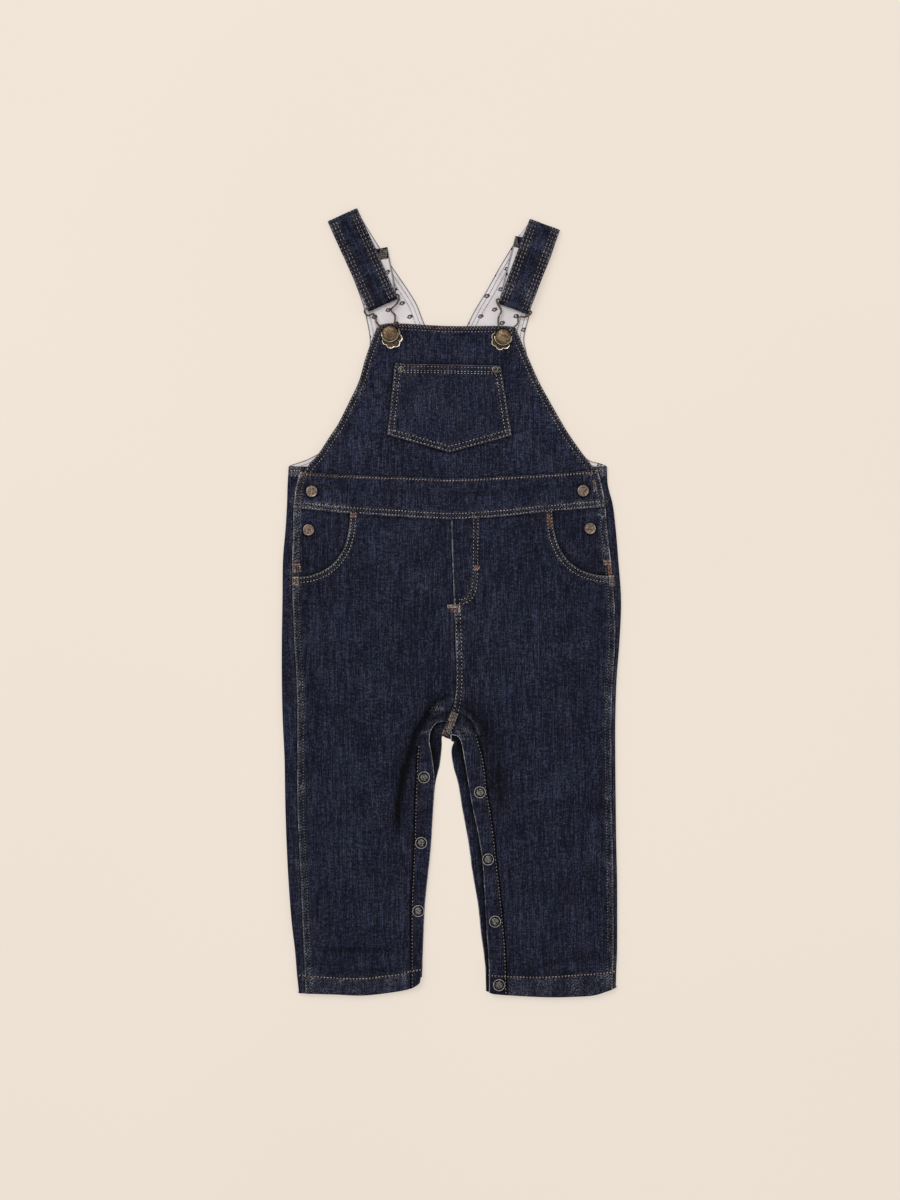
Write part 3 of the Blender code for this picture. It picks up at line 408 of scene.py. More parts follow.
def evenly(line, spacing=None, count=None):
    """A line resampled to equal steps."""
    line = np.asarray(line, float)
    along = travelled(line)
    count = count or max(int(round(along[-1] / spacing)), 1) + 1
    return picked(line, along, np.linspace(0, along[-1], count))


def rails(left, right, spacing):
    """Two matching rails as smooth curves, resampled together so that their rows are evenly spaced."""
    left, right = smooth(left), smooth(right)
    along = np.maximum(travelled(left), travelled(right))
    count = max(int(round(along[-1] / spacing)), 2) + 1
    places = np.interp(np.linspace(0, along[-1], count), along, np.linspace(0, 1, len(along)))
    return [picked(rail, np.arange(len(rail)), places * (len(rail) - 1)) for rail in (left, right)]


def shifted(line, distance):
    """A line moved to its right, seen along it, by a distance."""
    line = np.asarray(line, float)
    along = np.gradient(line, axis=0)
    along /= np.linalg.norm(along, axis=1)[:, None]
    return line + distance * np.column_stack((along[:, 1], -along[:, 0]))


def at(table, column, where, key="y"):
    """A column of a table, as a smooth curve, at places between its rows."""
    knots = smooth(sorted(zip(table[key], table[column])), 8)
    return np.interp(where, knots[:, 0], knots[:, 1])


def level(line, x):
    """How far up the garment a line lies that runs across it."""
    return at(line, "y", x, "x")


def ease(low, high, value):
    """0 at low, 1 at high, with a soft start and end. low may be the larger."""
    share = np.clip((value - low) / (high - low), 0.0, 1.0)
    return share * share * (3 - 2 * share)


def bump(distance, half):
    """1 at no distance, falling off like a bell."""
    return np.exp(-(distance / half) ** 2)


def rounding(distance, radius):
    """How far a rounded edge falls away at a distance from the edge."""
    inside = np.clip(1 - distance / radius, 0, 1)
    return radius * (1 - np.sqrt(np.clip(1 - inside ** 2, 0, 1)))


LATTICE = np.random.RandomState(11).rand(64, 64) * 2 - 1


def noise(x, y, size, seed=0):
    """Smooth noise between -1 and 1 with features of this size."""
    u, v = x / size + 17.3 * seed, y / size + 5.9 * seed
    i, j = np.floor(u).astype(int), np.floor(v).astype(int)
    fu, fv = u - i, v - j
    fu, fv = fu * fu * (3 - 2 * fu), fv * fv * (3 - 2 * fv)
    corner = {(a, b): LATTICE[(i + a) % 64, (j + b) % 64] for a in (0, 1) for b in (0, 1)}
    low = corner[0, 0] * (1 - fv) + corner[0, 1] * fv
    high = corner[1, 0] * (1 - fv) + corner[1, 1] * fv
    return low * (1 - fu) + high * fu


def nearest(x, y, line):
    """How far places lie from a line, and how far along it their nearest points are."""
    best, along = np.full(np.shape(x), 1e6), np.zeros(np.shape(x))
    before = travelled(line)
    for k, (start, end) in enumerate(zip(line, line[1:])):
        step = end - start
        length = math.hypot(*step)
        if length < 1e-6:
            continue
        share = np.clip(((x - start[0]) * step[0] + (y - start[1]) * step[1]) / length ** 2, 0, 1)
        distance = np.hypot(x - start[0] - share * step[0], y - start[1] - share * step[1])
        closer = distance < best
        best = np.where(closer, distance, best)
        along = np.where(closer, before[k] + share * length, along)
    return best, along


# ------------------------------------------------------------------------------------------ heights


def to_hem(x, y, reach):
    """Stretches what lies near the hems down to their curved edge, short of the fold there."""
    share = (np.minimum(y, HEM_CURVE_Y) - HEM_CURVE_Y) / (HEM_BOTTOM_Y - HEM_CURVE_Y)
    return np.where(y >= HEM_CURVE_Y, y, HEM_CURVE_Y + share * (level(HEM_EDGE, x) + reach - HEM_CURVE_Y))


def hem_rise(x, y):
    """How far places lie above the hems' row of stitches."""
    return y - level(HEM_ROW, x)


def fold_share(x, y, half, line):
    """How near places lie to a fold's line, which fades out towards its ends."""
    line = np.array(line, float)
    distance, along = nearest(x, y, line)
    length = travelled(line)[-1]
    return bump(distance, half) * (0.35 + 0.65 * ease(0, 0.25 * length, np.minimum(along, length - along)))


def opening_share(side, x, y):
    """How far out a place lies from an opening's centre: 1 on the opening's edge."""
    opening = OPENINGS[side]
    across = np.abs(x - opening["centre"][0]) / opening["reach"][0]
    down = np.abs(opening["centre"][1] - y) / opening["reach"][1]
    return (across ** OPENING_POWER + down ** OPENING_POWER) ** (1 / OPENING_POWER)


def front_under(x, y):
    """Height of the underside of the front below the waistband, before it laps over a pocket."""
    seam = np.where(x < 2, at(SIDES, "seam_l", y), at(SIDES, "seam_r", y))
    inset = np.abs(seam - x)
    width = np.where(y < -110, np.abs(seam) - 20, np.abs(seam))
    fullness = LEG_FULLNESS * np.sin(math.pi * np.minimum(inset / width, 1.0))
    rise = SEAM_RISE * bump(inset, SEAM_RISE_WIDTH)
    folds = sum(height * fold_share(x, y, half, line) for half, height, *line in FOLDS)
    height = FRONT_REST + rise + fullness + folds
    height = height + (ON_HEMS - height) * ease(HEM_CURVE_Y, HEM_TOP_Y + 2.5, y)
    return np.maximum(height, ON_BACK)


def front_top(x, y):
    """Height of the outside of the front, where it laps over a hip pocket too."""
    share = np.minimum(opening_share("l", x, y), opening_share("r", x, y))
    return front_under(x, y) + DENIM + LIFT * (1 - ease(1.25, 1.6, share))


def waistband_top(x, y):
    """The waistband stands proud of the legs and the bib."""
    return front_under(x, np.full(np.shape(x), WAIST_LEVEL)) + DOUBLE + WAISTBAND_PROUD


def bib_top(x, y):
    """Height of the outside of the bib, a little fuller in the middle, and lower at the waistband."""
    width = (at(BIB_SIDES, "right", y) - at(BIB_SIDES, "left", y)) / 2
    rise = y - level(BIB_SEAM, x)
    fullness = np.cos(0.5 * math.pi * np.minimum(np.abs(x + 2) / width, 1.0)) * ease(222, 190, y)
    return ON_LINING + BIB_REST * ease(0, 10, rise) + DENIM + BIB_FULLNESS * (fullness * ease(0, 22, rise))


def floor_level(x, y):
    """Height of the surface that the garment lies on."""
    return 0 * x


# ------------------------------------------------------------------------------------------ materials


class Nodes:
    """A node tree, whose nodes are added and joined in short lines."""

    def __init__(self, tree):
        self.tree = tree

    def add(self, kind, inputs=None, **settings):
        node = self.tree.nodes.new(kind)
        for key, value in settings.items():
            setattr(node, key, value)
        for key, value in (inputs or {}).items():
            self.set(node.inputs[key], value)
        return node

    def set(self, socket, value):
        if isinstance(value, Value):
            value = value.socket
        if isinstance(value, bpy.types.Node):
            value = value.outputs[0]
        if isinstance(value, bpy.types.NodeSocket):
            self.tree.links.new(value, socket)
        else:
            socket.default_value = value


def reckoned(how):
    return lambda self, other: self.recipe.maths(how, self, other)


class Value:
    """A number in a recipe, which takes part in plain sums."""

    __add__, __sub__, __mul__ = reckoned("ADD"), reckoned("SUBTRACT"), reckoned("MULTIPLY")
    __truediv__, __mod__, __pow__ = reckoned("DIVIDE"), reckoned("MODULO"), reckoned("POWER")

    def __init__(self, recipe, node, output=0):
        self.recipe, self.socket = recipe, node.outputs[output]

    def __rsub__(self, other):
        return self.recipe.maths("SUBTRACT", other, self)

    def __abs__(self):
        return self.recipe.maths("ABSOLUTE", self)


class Recipe(Nodes):
    """A material's nodes. Its patterns are turned about Z by an angle."""

    def __init__(self, name, turn=0.0):
        self.material = bpy.data.materials.new(name)
        self.material.use_nodes = True
        super().__init__(self.material.node_tree)
        self.shader = self.tree.nodes["Principled BSDF"]
        self.turn = turn

    def places(self, stretch=(1.0, 1.0, 1.0), turn=None):
        """Object coordinates in millimetres, turned about Z and stretched."""
        angle = self.turn if turn is None else turn
        coordinates = self.add("ShaderNodeTexCoord").outputs["Object"]
        turned = self.add("ShaderNodeMapping", {"Vector": coordinates, "Rotation": (0, 0, angle)})
        return self.add("ShaderNodeMapping", {"Vector": turned, "Scale": tuple(1 / MM / s for s in stretch)})

    def grain(self, stretch=(1.0, 1.0, 1.0), size=1.0, detail=1.0, roughness=0.5, turn=None):
        """Noise with features of a size, stretched."""
        inputs = {"Vector": self.places(stretch, turn), "Scale": 1 / size, "Detail": detail,
                  "Roughness": roughness}
        return Value(self, self.add("ShaderNodeTexNoise", inputs), "Fac")

    def spread(self, value, low, high, to_low=0.0, to_high=1.0):
        """Maps low..high to to_low..to_high, held at both ends."""
        return Value(self, self.add("ShaderNodeMapRange", {0: value, 1: low, 2: high, 3: to_low, 4: to_high}))

    def maths(self, how, *values):
        return Value(self, self.add("ShaderNodeMath", dict(enumerate(values)), operation=how))

    def look(self, name):
        """What the cloth's mesh says of a place."""
        return Value(self, self.add("ShaderNodeAttribute", attribute_name=name), "Fac")

    def mixed(self, share, first, second, how="MIX"):
        inputs = {0: share, 6: first, 7: second}
        return self.add("ShaderNodeMix", inputs, data_type="RGBA", blend_type=how).outputs[2]

    def dimmed(self, colour, light):
        """A colour with less light on it, or with more."""
        grey = self.add("ShaderNodeCombineXYZ", {0: light, 1: light, 2: light})
        return self.mixed(1.0, colour, grey, "MULTIPLY")

    def relief(self, height, distance, strength=0.5):
        bumps = {"Height": height, "Distance": distance * MM, "Strength": strength}
        self.set(self.shader.inputs["Normal"], self.add("ShaderNodeBump", bumps))

    def finish(self, colour, roughness, metallic=0.0, **others):
        values = {"Base Color": colour, "Roughness": roughness, "Metallic": metallic, **others}
        for key, value in values.items():
            self.set(self.shader.inputs[key.replace("_", " ")], value)
        return self.material


INK = (0.0034, 0.0040, 0.0108, 1)  # the darkest warp
FADED = (0.0462, 0.0502, 0.0885, 1)
BLUE = (0.93, 1.0, 1.05, 1)  # what tints the cloth in patches: colder, and warmer
WARM = (1.05, 1.0, 0.97, 1)
WORN = (0.262, 0.272, 0.322, 1)  # the flecks along seams and on the ridges of puckers
BARE = (0.58, 0.60, 0.68, 1)  # undyed yarn in the thin line along an edge
NEEDLE_SHADE = 0.7  # how far from a row of stitches the painted shade of its groove reaches


def denim(name, turn=0.0, tone=1.0):
    """Dark indigo twill: slubby warp, paler weft, and where the looks say, wear, painted shade, and stitch
    marks: painted shade along each row and a darker band between twin rows.
    """
    recipe = Recipe(name, turn)
    grain, spread, look, mixed = recipe.grain, recipe.spread, recipe.look, recipe.mixed
    warp = grain((0.62, 15.0, 6.0), roughness=0.6)
    slubs = grain((0.9, 34.0, 9.0))
    short = grain((0.6, 2.4, 2.0), roughness=0.6)
    weft = grain((4.5, 0.7, 3.0), roughness=0.6)
    flecks = grain(size=0.75)
    clouds = grain(size=24.0, detail=3.0)
    tints = grain((11.0, 26.0, 20.0), detail=4.0, roughness=0.65)
    salt = grain((0.6, 0.85, 1.0))
    value = spread(warp, 0.40, 0.62, 0.0, 0.28)
    for part, share in ((short, 0.335), (weft, 0.245), (flecks, 0.27), (slubs, 0.115)):
        value = value + spread(part, 0.38, 0.64, 0.0, share)
    value = value + spread(clouds, 0.3, 0.7, -0.07, 0.07)
    value = spread(value, 0.345, 0.945) ** 1.85
    colour = mixed(value, INK, FADED)
    colour = mixed(1.0, colour, mixed(spread(tints, 0.40, 0.60), BLUE, WARM), "MULTIPLY")
    wear, sewn = look("wear"), look("sewn")
    worn = spread(salt + wear * 0.24, 0.59, 0.70) * spread(wear, 0.02, 0.30, 0.0, 0.85)
    rim = spread(look("edge"), 0.2, 0.8, 1.0, 0.0) * look("rim") * spread(short, 0.36, 0.6, 0.25, 1.25)
    # stitch marks: painted shade in the groove along each twin row, and a darker band between the rows
    needle = recipe.maths("MAXIMUM", *(spread(abs(sewn - row), 0.25, NEEDLE_SHADE, 1.0, 0.0) for row in TWIN_ROWS))
    band = spread(sewn, TWIN_ROWS[1] + 0.4, TWIN_ROWS[1] + 1.4, 1.0, 0.0)
    marks = (needle * 0.55 + band * 0.40) * look("marks")
    colour = recipe.dimmed(colour, tone - marks)
    colour = mixed(rim, mixed(worn, colour, WORN), BARE)
    # painted shadow along the edge of a piece that this cloth goes under, and painted shade as the shade look
    # says
    seam = spread(look("seam"), 0.3, 1.3, 0.2, 1.0)
    colour = recipe.dimmed(colour, seam * (1.0 - look("shade") * 0.86))
    waves = {"Vector": recipe.places(turn=turn + math.radians(63)), "Scale": 0.42, "Distortion": 1.2,
             "Detail": 1.0}
    twill = Value(recipe, recipe.add("ShaderNodeTexWave", waves), "Fac")
    recipe.relief(twill * 0.4 + value * 1.6 - marks * 1.5, 0.15, 0.8)
    return recipe.finish(colour, 0.9, Specular_IOR_Level=0.12)


def thread(name, pale, deep, patch):
    """Topstitching thread: plied, a little glossy, and unevenly faded along the seam."""
    recipe = Recipe(name)
    patches = recipe.grain(size=patch, detail=3.0, roughness=0.6)
    plies = recipe.grain(size=0.35)
    colour = recipe.mixed(recipe.spread(patches, 0.40, 0.60), (*deep, 1), (*pale, 1))
    colour = recipe.mixed(recipe.spread(plies, 0.35, 0.65, 0.0, 0.35), colour, (*deep, 1))
    recipe.relief(plies, 0.1)
    return recipe.finish(colour, 0.62)


def needle_hole_shade():
    """Painted shade: the dark of the dimple where a needle has gone through the cloth."""
    recipe = Recipe("painted needle hole shade")
    fluff = recipe.grain(size=0.5)
    colour = recipe.mixed(recipe.spread(fluff, 0.35, 0.7), (0.002, 0.002, 0.004, 1), (0.014, 0.015, 0.026, 1))
    recipe.relief(fluff, 0.1)
    return recipe.finish(colour, 1.0, Specular_IOR_Level=0.0)


def printed(name, turn=0.0):
    """Off-white plain weave with a small staggered print: a ring with a few petals beside it."""
    recipe = Recipe(name, turn)
    spread, maths = recipe.spread, recipe.maths
    weave = recipe.grain((0.6, 0.6, 2.0), detail=2.0)
    soft = recipe.grain(size=22.0, detail=2.0, turn=0.0)
    ground = recipe.mixed(spread(soft, 0.3, 0.7), (0.68, 0.625, 0.635, 1), (0.85, 0.80, 0.81, 1))
    ground = recipe.mixed(spread(weave, 0.3, 0.7, 0.0, 0.22), ground, (0.46, 0.43, 0.45, 1))
    across, down = 18.0, 8.5  # between motifs in a row, and between rows
    split = recipe.add("ShaderNodeSeparateXYZ", {0: recipe.places(turn=turn + 0.3)})
    x, y = (Value(recipe, split, axis) + 40 * step for axis, step in enumerate((across, down)))
    stagger = maths("FLOOR", y / down) % 2.0 * (across / 2)
    x, y = (x + stagger) % across - across / 2, y % down - down / 2

    def far(u, v):
        off = (x - u, y - v)
        return maths("SQRT", off[0] * off[0] + off[1] * off[1])

    mark = spread(abs(far(0, 0) - 1.25), 0.32, 0.6, 1.0, 0.0)
    for u, v, radius in ((0.1, 0.1, 0.45), (1.75, 0.8, 0.7), (1.0, 1.7, 0.6), (-1.5, -1.1, 0.5)):
        mark = maths("MAXIMUM", mark, spread(far(u, v), radius - 0.2, radius + 0.2, 1.0, 0.0))
    colour = recipe.mixed(mark, ground, (0.012, 0.011, 0.020, 1))
    # darker within a millimetre of an edge, and darker with painted shade as the shade look says
    rim = spread(recipe.look("edge"), 0.2, 0.8, 0.45, 1.0)
    colour = recipe.dimmed(colour, (1.0 - recipe.look("shade") * 0.55) * rim)
    recipe.relief(weave, 0.12, 0.6)
    return recipe.finish(colour, 0.9, Specular_IOR_Level=0.2)


def brass(name, bright, dark, roughness, patch, metallic=1.0):
    """Antiqued brass: brown patina with the metal showing through in patches and fine scratches."""
    recipe = Recipe(name)
    patina = recipe.grain(size=patch, detail=3.0, roughness=0.6)
    pits = recipe.grain(size=0.5, detail=2.0)
    scratches = recipe.grain((0.25, 4.0, 1.0), turn=0.6)
    colour = recipe.mixed(recipe.spread(patina, 0.40, 0.60), (*dark, 1), (*bright, 1))
    colour = recipe.mixed(recipe.spread(scratches, 0.55, 0.75, 0.0, 0.35), colour, (*bright, 1))
    recipe.relief(pits + scratches * 0.6, 0.05)
    rough = recipe.spread(patina, 0.3, 0.7, roughness + 0.16, roughness - 0.06)
    return recipe.finish(colour, rough, metallic)


# ------------------------------------------------------------------------------------------ pieces


def linked(name, data):
    """A new object in the scene."""
    made = bpy.data.objects.new(name, data)
    bpy.context.scene.collection.objects.link(made)
    return made


def modified(piece, kind, **settings):
    """Adds a modifier to an object."""
    modifier = piece.modifiers.new(kind, kind)
    for key, value in settings.items():
        setattr(modifier, key, value)
    return modifier


def plain_mesh(obj):
    """The object's evaluated shape as a plain mesh of its own, with no modifiers."""
    bpy.context.view_layer.update()
    mesh = bpy.data.meshes.new_from_object(obj.evaluated_get(bpy.context.evaluated_depsgraph_get()))
    name = obj.name
    bpy.data.objects.remove(obj)
    return linked(name, mesh)


def shaded(piece, sharp=180):
    """Smooth, but for edges past an angle in degrees."""
    piece.data.shade_smooth()
    if sharp < 180:
        piece.data.set_sharp_from_angle(angle=math.radians(sharp))
    return piece


def declared(piece, slot, *nodes):
    """Says what body a piece rides on, and hides the nodes that it takes the place of. slot is not used."""
    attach(piece, "root")
    if nodes:
        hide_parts(*nodes)


# ------------------------------------------------------------------------------------------ cloth

PIECES = {}
DENIM_PLAIN = denim("indigo denim")
DENIM_UPPER = denim("indigo denim of the bib", tone=1.16)

# What the cloth's finish reads at each point: the most that a distance can be, and then a share.
FAR = 20.0
DISTANCES = ("edge", "seam", "sewn")
SHARES = ("wear", "shade", "marks", "rim")

# A thin bent piece can have less, and make then gives it more than its own area: here only the viewer's right
# front placket, whose own share is about 0.28.
LEAST_SHARE = 0.31
BACK_BOX = (0.25, 0.2)  # metres: the least flat size taken for the back above the waist


def shell(name, grids, looks, thick, material, sharp):
    """A closed wall of cloth. A grid holds outer points by row, from the top, and column, from the left.
    Two grids meet along a line."""
    faces, count = [], 0
    for grid in grids:
        rows, columns = grid.shape[:2]
        corner = np.arange((rows - 1) * columns).reshape(rows - 1, columns)[:, :-1] + count
        faces.append(np.stack((corner, corner + columns, corner + columns + 1, corner + 1), axis=-1))
        count += rows * columns
    mesh = bpy.data.meshes.new(name)
    mesh.from_pydata((np.vstack([grid.reshape(-1, 3) for grid in grids]) * MM).tolist(), [],
                     np.vstack([corners.reshape(-1, 4) for corners in faces]).tolist())
    for key in DISTANCES + SHARES:
        values = [np.clip(look[key], 0, FAR if key in DISTANCES else 1.0).ravel() for look in looks]
        attribute = mesh.attributes.new(key, "FLOAT", "POINT")
        attribute.data.foreach_set("value", np.concatenate(values).astype(np.float32))
    mesh.materials.append(material)
    piece = linked(name, mesh)
    modified(piece, "WELD", merge_threshold=0.02 * MM)
    modified(piece, "SOLIDIFY", thickness=thick * MM, offset=-1)
    piece = plain_mesh(piece)
    for vertex in piece.data.vertices:
        vertex.co.z = max(vertex.co.z, 0.0)  # it lies on the surface, not in it
    return shaded(piece, sharp)


def cut_size(grid):
    """Width, length and area, in metres, of a grid of cloth laid out flat."""
    across = np.linalg.norm(np.diff(grid, axis=1), axis=2).sum(1).max() * MM
    down = np.linalg.norm(np.diff(grid, axis=0), axis=2).sum(0).max() * MM
    one, two = np.diff(grid, axis=0)[:, :-1], np.diff(grid, axis=1)[:-1]
    return across, down, float(np.linalg.norm(np.cross(one, two), axis=2).sum()) * MM ** 2


def make(node, grids, looks, thick, rests_on=(), held="laid", material=DENIM_PLAIN, slot="indigo_denim",
         sharp=50, box=None):
    """A piece of cloth in the place of a node. It works out a flat size, which nothing uses.

    That size is the larger, each way, of the mesh as it lies and its outer side laid out flat."""
    if isinstance(grids, np.ndarray):
        grids, looks = [grids], [looks]
    piece = PIECES[node] = shell(f"cloth_{node}", grids, looks, thick, material, sharp)
    declared(piece, slot, node)
    sizes = [cut_size(grid) for grid in grids]
    across, down = box or sizes[0][:2]
    points = np.array([vertex.co for vertex in piece.data.vertices])
    size = points.max(0) - points.min(0)
    width, length = max(float(size[0]), across), max(float(size[1]), down)
    cut = min(max(sum(area for _, _, area in sizes), LEAST_SHARE * width * length), width * length)
    list(rests_on)


def columns_between(left, right, spacing):
    """Points of straight rows between two rails, closer together near both rails."""
    widths = np.linalg.norm(right - left, axis=1)
    near = np.array(EDGE_STEPS)
    count = max(int(round((np.median(widths) - 2 * near[-1]) / spacing)), 2)
    grid = []
    for start, end, width in zip(left, right, widths):
        margin = near * min(1.0, 0.3 * width / near[-1])
        middle = np.linspace(margin[-1], width - margin[-1], count + 1)[1:-1]
        where = np.concatenate((margin, middle, width - margin[::-1])) / max(width, 1e-6)
        grid.append(start + (end - start) * where[:, None])
    return np.array(grid)


def closer_rows(grid):
    """The grid with rows added close to its first and last ones."""
    first, last = grid[0], grid[-1]
    to_second, to_previous = grid[1] - first, grid[-2] - last
    step = np.linalg.norm(to_second, axis=1).mean()
    near = [edge for edge in EDGE_STEPS[1:3] if edge < 0.8 * step]
    start = [first + to_second * edge / step for edge in near]
    end = [last + to_previous * edge / step for edge in near[::-1]]
    return np.concatenate((grid[:1], start, grid[1:-1], end, grid[-1:])) if start else grid


def panel(side, outer, inner, spacing=SPACING, hem=None):
    """Rows between a panel's outer and inner rails, down to so far short of its hem's edge."""
    grid = columns_between(*((outer, inner) if side == "l" else (inner, outer)), spacing)
    if hem is not None:
        grid[..., 1] = to_hem(grid[..., 0], grid[..., 1], hem)
    return grid


class Relief:
    """What sewing and handling do to a panel, by place: its height, and what its finish needs to know.

    Three looks are distances: from an edge that shows, from a piece that it goes under and that casts painted
    shadow there, and from the line that twin rows of stitches follow. The others are shares: of wear, painted
    shade, stitch marks, which are painted shade along each row and a darker band between twin rows, and of
    the pale line along an edge."""

    def __init__(self, grid, seed):
        self.x, self.y, self.seed = grid[..., 0], grid[..., 1], seed
        self.height = np.zeros(self.x.shape)
        self.looks = {name: np.full(self.x.shape, FAR) for name in DISTANCES}
        self.looks.update({name: np.zeros(self.x.shape) for name in SHARES})

    def add(self, name, amount):
        self.looks[name] = self.looks[name] + amount

    def claim(self, name, distance, share, amount):
        """Takes the distance from a line where that line is the nearest so far, and a share with it."""
        closer = distance < self.looks[name]
        self.looks[name] = np.where(closer, distance, self.looks[name])
        self.looks[share] = np.where(closer, amount, self.looks[share])

    def drape(self, strength=1.0):
        """Soft unevenness of cloth that has been smoothed by hand."""
        x, y, seed = self.x, self.y, self.seed
        waves = 0.30 * noise(x, y, 46, seed) + 0.16 * noise(x + y, x - y, 19, seed + 1)
        self.height += strength * (waves + 0.07 * noise(x, y, 7, seed + 2))
        self.add("wear", 0.012 * strength * np.clip(noise(x, y, 60, seed + 3), 0, 1))
        return self

    def creased(self):
        """Folds pressed into the cloth: dye gathers in the troughs, with painted shade there too, and goes
        from the sharp ridges.
        """
        for half, height, dark, worn, *line in CREASES:
            share = fold_share(self.x, self.y, half, line)
            self.height += height * share
            # painted shade in the trough, together with the dye gathered there
            self.looks["shade"] = np.maximum(self.looks["shade"], dark * share)
            if worn is None:
                worn = 0.2 * max(height, 0) if half < 1.6 else 0
            self.add("wear", worn * share)
        return self

    def edge(self, line, rounded=0.9, rim=0.3, wear=0.05):
        """A finished edge: rounded off, with the dye worn from it in a thin pale line."""
        distance, along = nearest(self.x, self.y, line)
        self.height -= rounding(distance, rounded)
        patchy = np.clip(0.75 + 0.7 * noise(along, along * 0, 7, self.seed + 4), 0, 1.2)
        self.claim("edge", distance, "rim", rim * patchy)
        self.add("wear", wear * bump(distance, 1.6) * np.clip(patchy, 0, 1))
        return self

    def sewn(self, line, rows=TWIN_ROWS, felled=0.45, pucker=0.30, reach=7.0, pitch=7.0, wear=0.22,
             slant=0.35, marks=0.8):
        """Topstitch rows along a line: layers under them, a groove at each, and puckers across, worn on their
        ridges with painted shade in their troughs.
        """
        distance, along = nearest(self.x, self.y, line)
        band = rows[-1] + 1.0
        self.height += felled * (1 - ease(band, band + 1.4, distance))
        ripple = noise(along + slant * distance, distance * 0.12, pitch, self.seed + 5)
        ripple += 0.6 * noise(along + slant * distance, distance * 0.12, pitch * 0.45, self.seed + 6)
        fade = np.where(distance < band, 1.0, np.exp(-(np.maximum(distance - band, 0) / reach) ** 1.3))
        self.height += pucker * ripple * fade
        self.height -= 0.22 * sum(bump(distance - row, 0.7) for row in rows)
        inside = 1 - ease(band - 0.5, band + 1.5, distance)
        self.add("wear", wear * (0.55 * inside + np.clip(ripple, 0, 1) * (0.55 * fade + 0.35 * inside)))
        # painted shade in the troughs of the puckers
        self.add("shade", 0.55 * np.clip(-ripple, 0, 1) * fade)
        if rows == TWIN_ROWS:
            # the finish turns these marks into painted shade along each twin row
            self.claim("sewn", distance, "marks", marks)
        else:
            # painted shade in the groove of each row
            self.add("shade", 0.5 * sum(bump(distance - row, 0.9) for row in rows))
        return self

    def hemmed(self):
        """A turned-up hem: more layers below its row of stitches, puckered and a little paler."""
        rise = hem_rise(self.x, self.y)
        self.sewn(HEM_STITCHES, (0.0,), felled=0, pucker=0.3, reach=5, wear=0.14)
        self.height += 0.3 * (1 - ease(0, 1.6, rise))
        below = 1 - ease(-1.5, 0, rise)
        streaks = np.clip(noise(self.x, self.y * 0.3, 4.5, 31), -1, 1)
        self.add("wear", below * (0.10 + 0.12 * np.clip(streaks, 0, 1)))
        self.add("shade", below * 0.45 * np.clip(-streaks, 0, 1))
        return self

    def puckered(self, side):
        """A placket's cross puckers, between its snaps, worn on their ridges with painted shade in their
        troughs.
        """
        for y, x, slope, height in PUCKERS[side]:
            wander = 0.8 * noise(self.x, 0 * self.x, PUCKER_REACH, y)
            across = self.y - y - slope * (self.x - x) - wander
            share = bump(across, PUCKER_HALF) * bump(self.x - x, PUCKER_REACH)
            self.height += height * share
            self.add("wear", 0.16 * max(height, 0) * share)
            # painted shade in the trough
            self.add("shade", 0.9 * max(-height, 0) * share)
        return self

    def under(self, line, reach=1.5, shade=0.5):
        """Cloth that goes under the edge of another piece: painted shadow along that edge."""
        distance, _ = nearest(self.x, self.y, line)
        # the finish paints shadow right at the edge from this distance
        self.looks["seam"] = np.minimum(self.looks["seam"], distance)
        # painted shadow reaching out from the edge
        self.add("shade", shade * bump(distance, reach))
        return self

    def on(self, surface, above=0.0):
        """The panel's points, so far above a surface, with the relief on them."""
        return np.stack((self.x, self.y, surface(self.x, self.y) + above + self.height), axis=-1)


def folded_under(points, looks, radius, rise):
    """A leg's points and looks with the fold along its lower edge."""
    turn = np.radians(30 * np.arange(1, HEM_TURN_STEPS + 1))[:, None]
    last = points[-1]
    fold = np.stack((np.broadcast_to(last[:, 0], (HEM_TURN_STEPS, len(last))),
                     last[:, 1] - radius * np.sin(turn), last[:, 2] + rise * (1 - np.cos(turn))), axis=-1)
    longer = {key: np.concatenate((grid, np.repeat(grid[-1:], HEM_TURN_STEPS, axis=0)))
              for key, grid in looks.items()}
    longer["wear"][-HEM_TURN_STEPS:] = 0.12
    return np.concatenate((points, fold)), longer


def flipped(points, looks):
    """The same cloth with its columns in the other order."""
    return points[:, ::-1], {key: grid[:, ::-1] for key, grid in looks.items()}


def opening_rail(side, share, count):
    """Points of a hip pocket's opening, from the waist round to the side seam."""
    opening = OPENINGS[side]
    turn = np.linspace(0, math.pi / 2, 200)
    across, down = np.cos(turn) ** (2 / OPENING_POWER), np.sin(turn) ** (2 / OPENING_POWER)
    line = np.column_stack((opening["centre"][0] + opening["facing"] * share * opening["reach"][0] * across,
                            opening["centre"][1] - share * opening["reach"][1] * down))
    return evenly(line, count=count)


def side_line(side, heights):
    """Points on a side seam."""
    return np.column_stack((at(SIDES, "seam_" + side, heights) - SIGN[side] * HAIR, heights))


def placket_seam(side, steps):
    """The sewn part of a placket's outer edge."""
    line = smooth(PLACKETS[side]["outer"], steps)
    return line[line[:, 1] < PLACKET_SEWN[side]]


WAIST_FOOT = smooth(list(zip(WAIST_LINE["x"], WAIST_LINE["y"])), 4)  # the waistband's lower edge
HEM_STITCHES = np.column_stack((HEM_ROW["x"], HEM_ROW["y"])).astype(float)


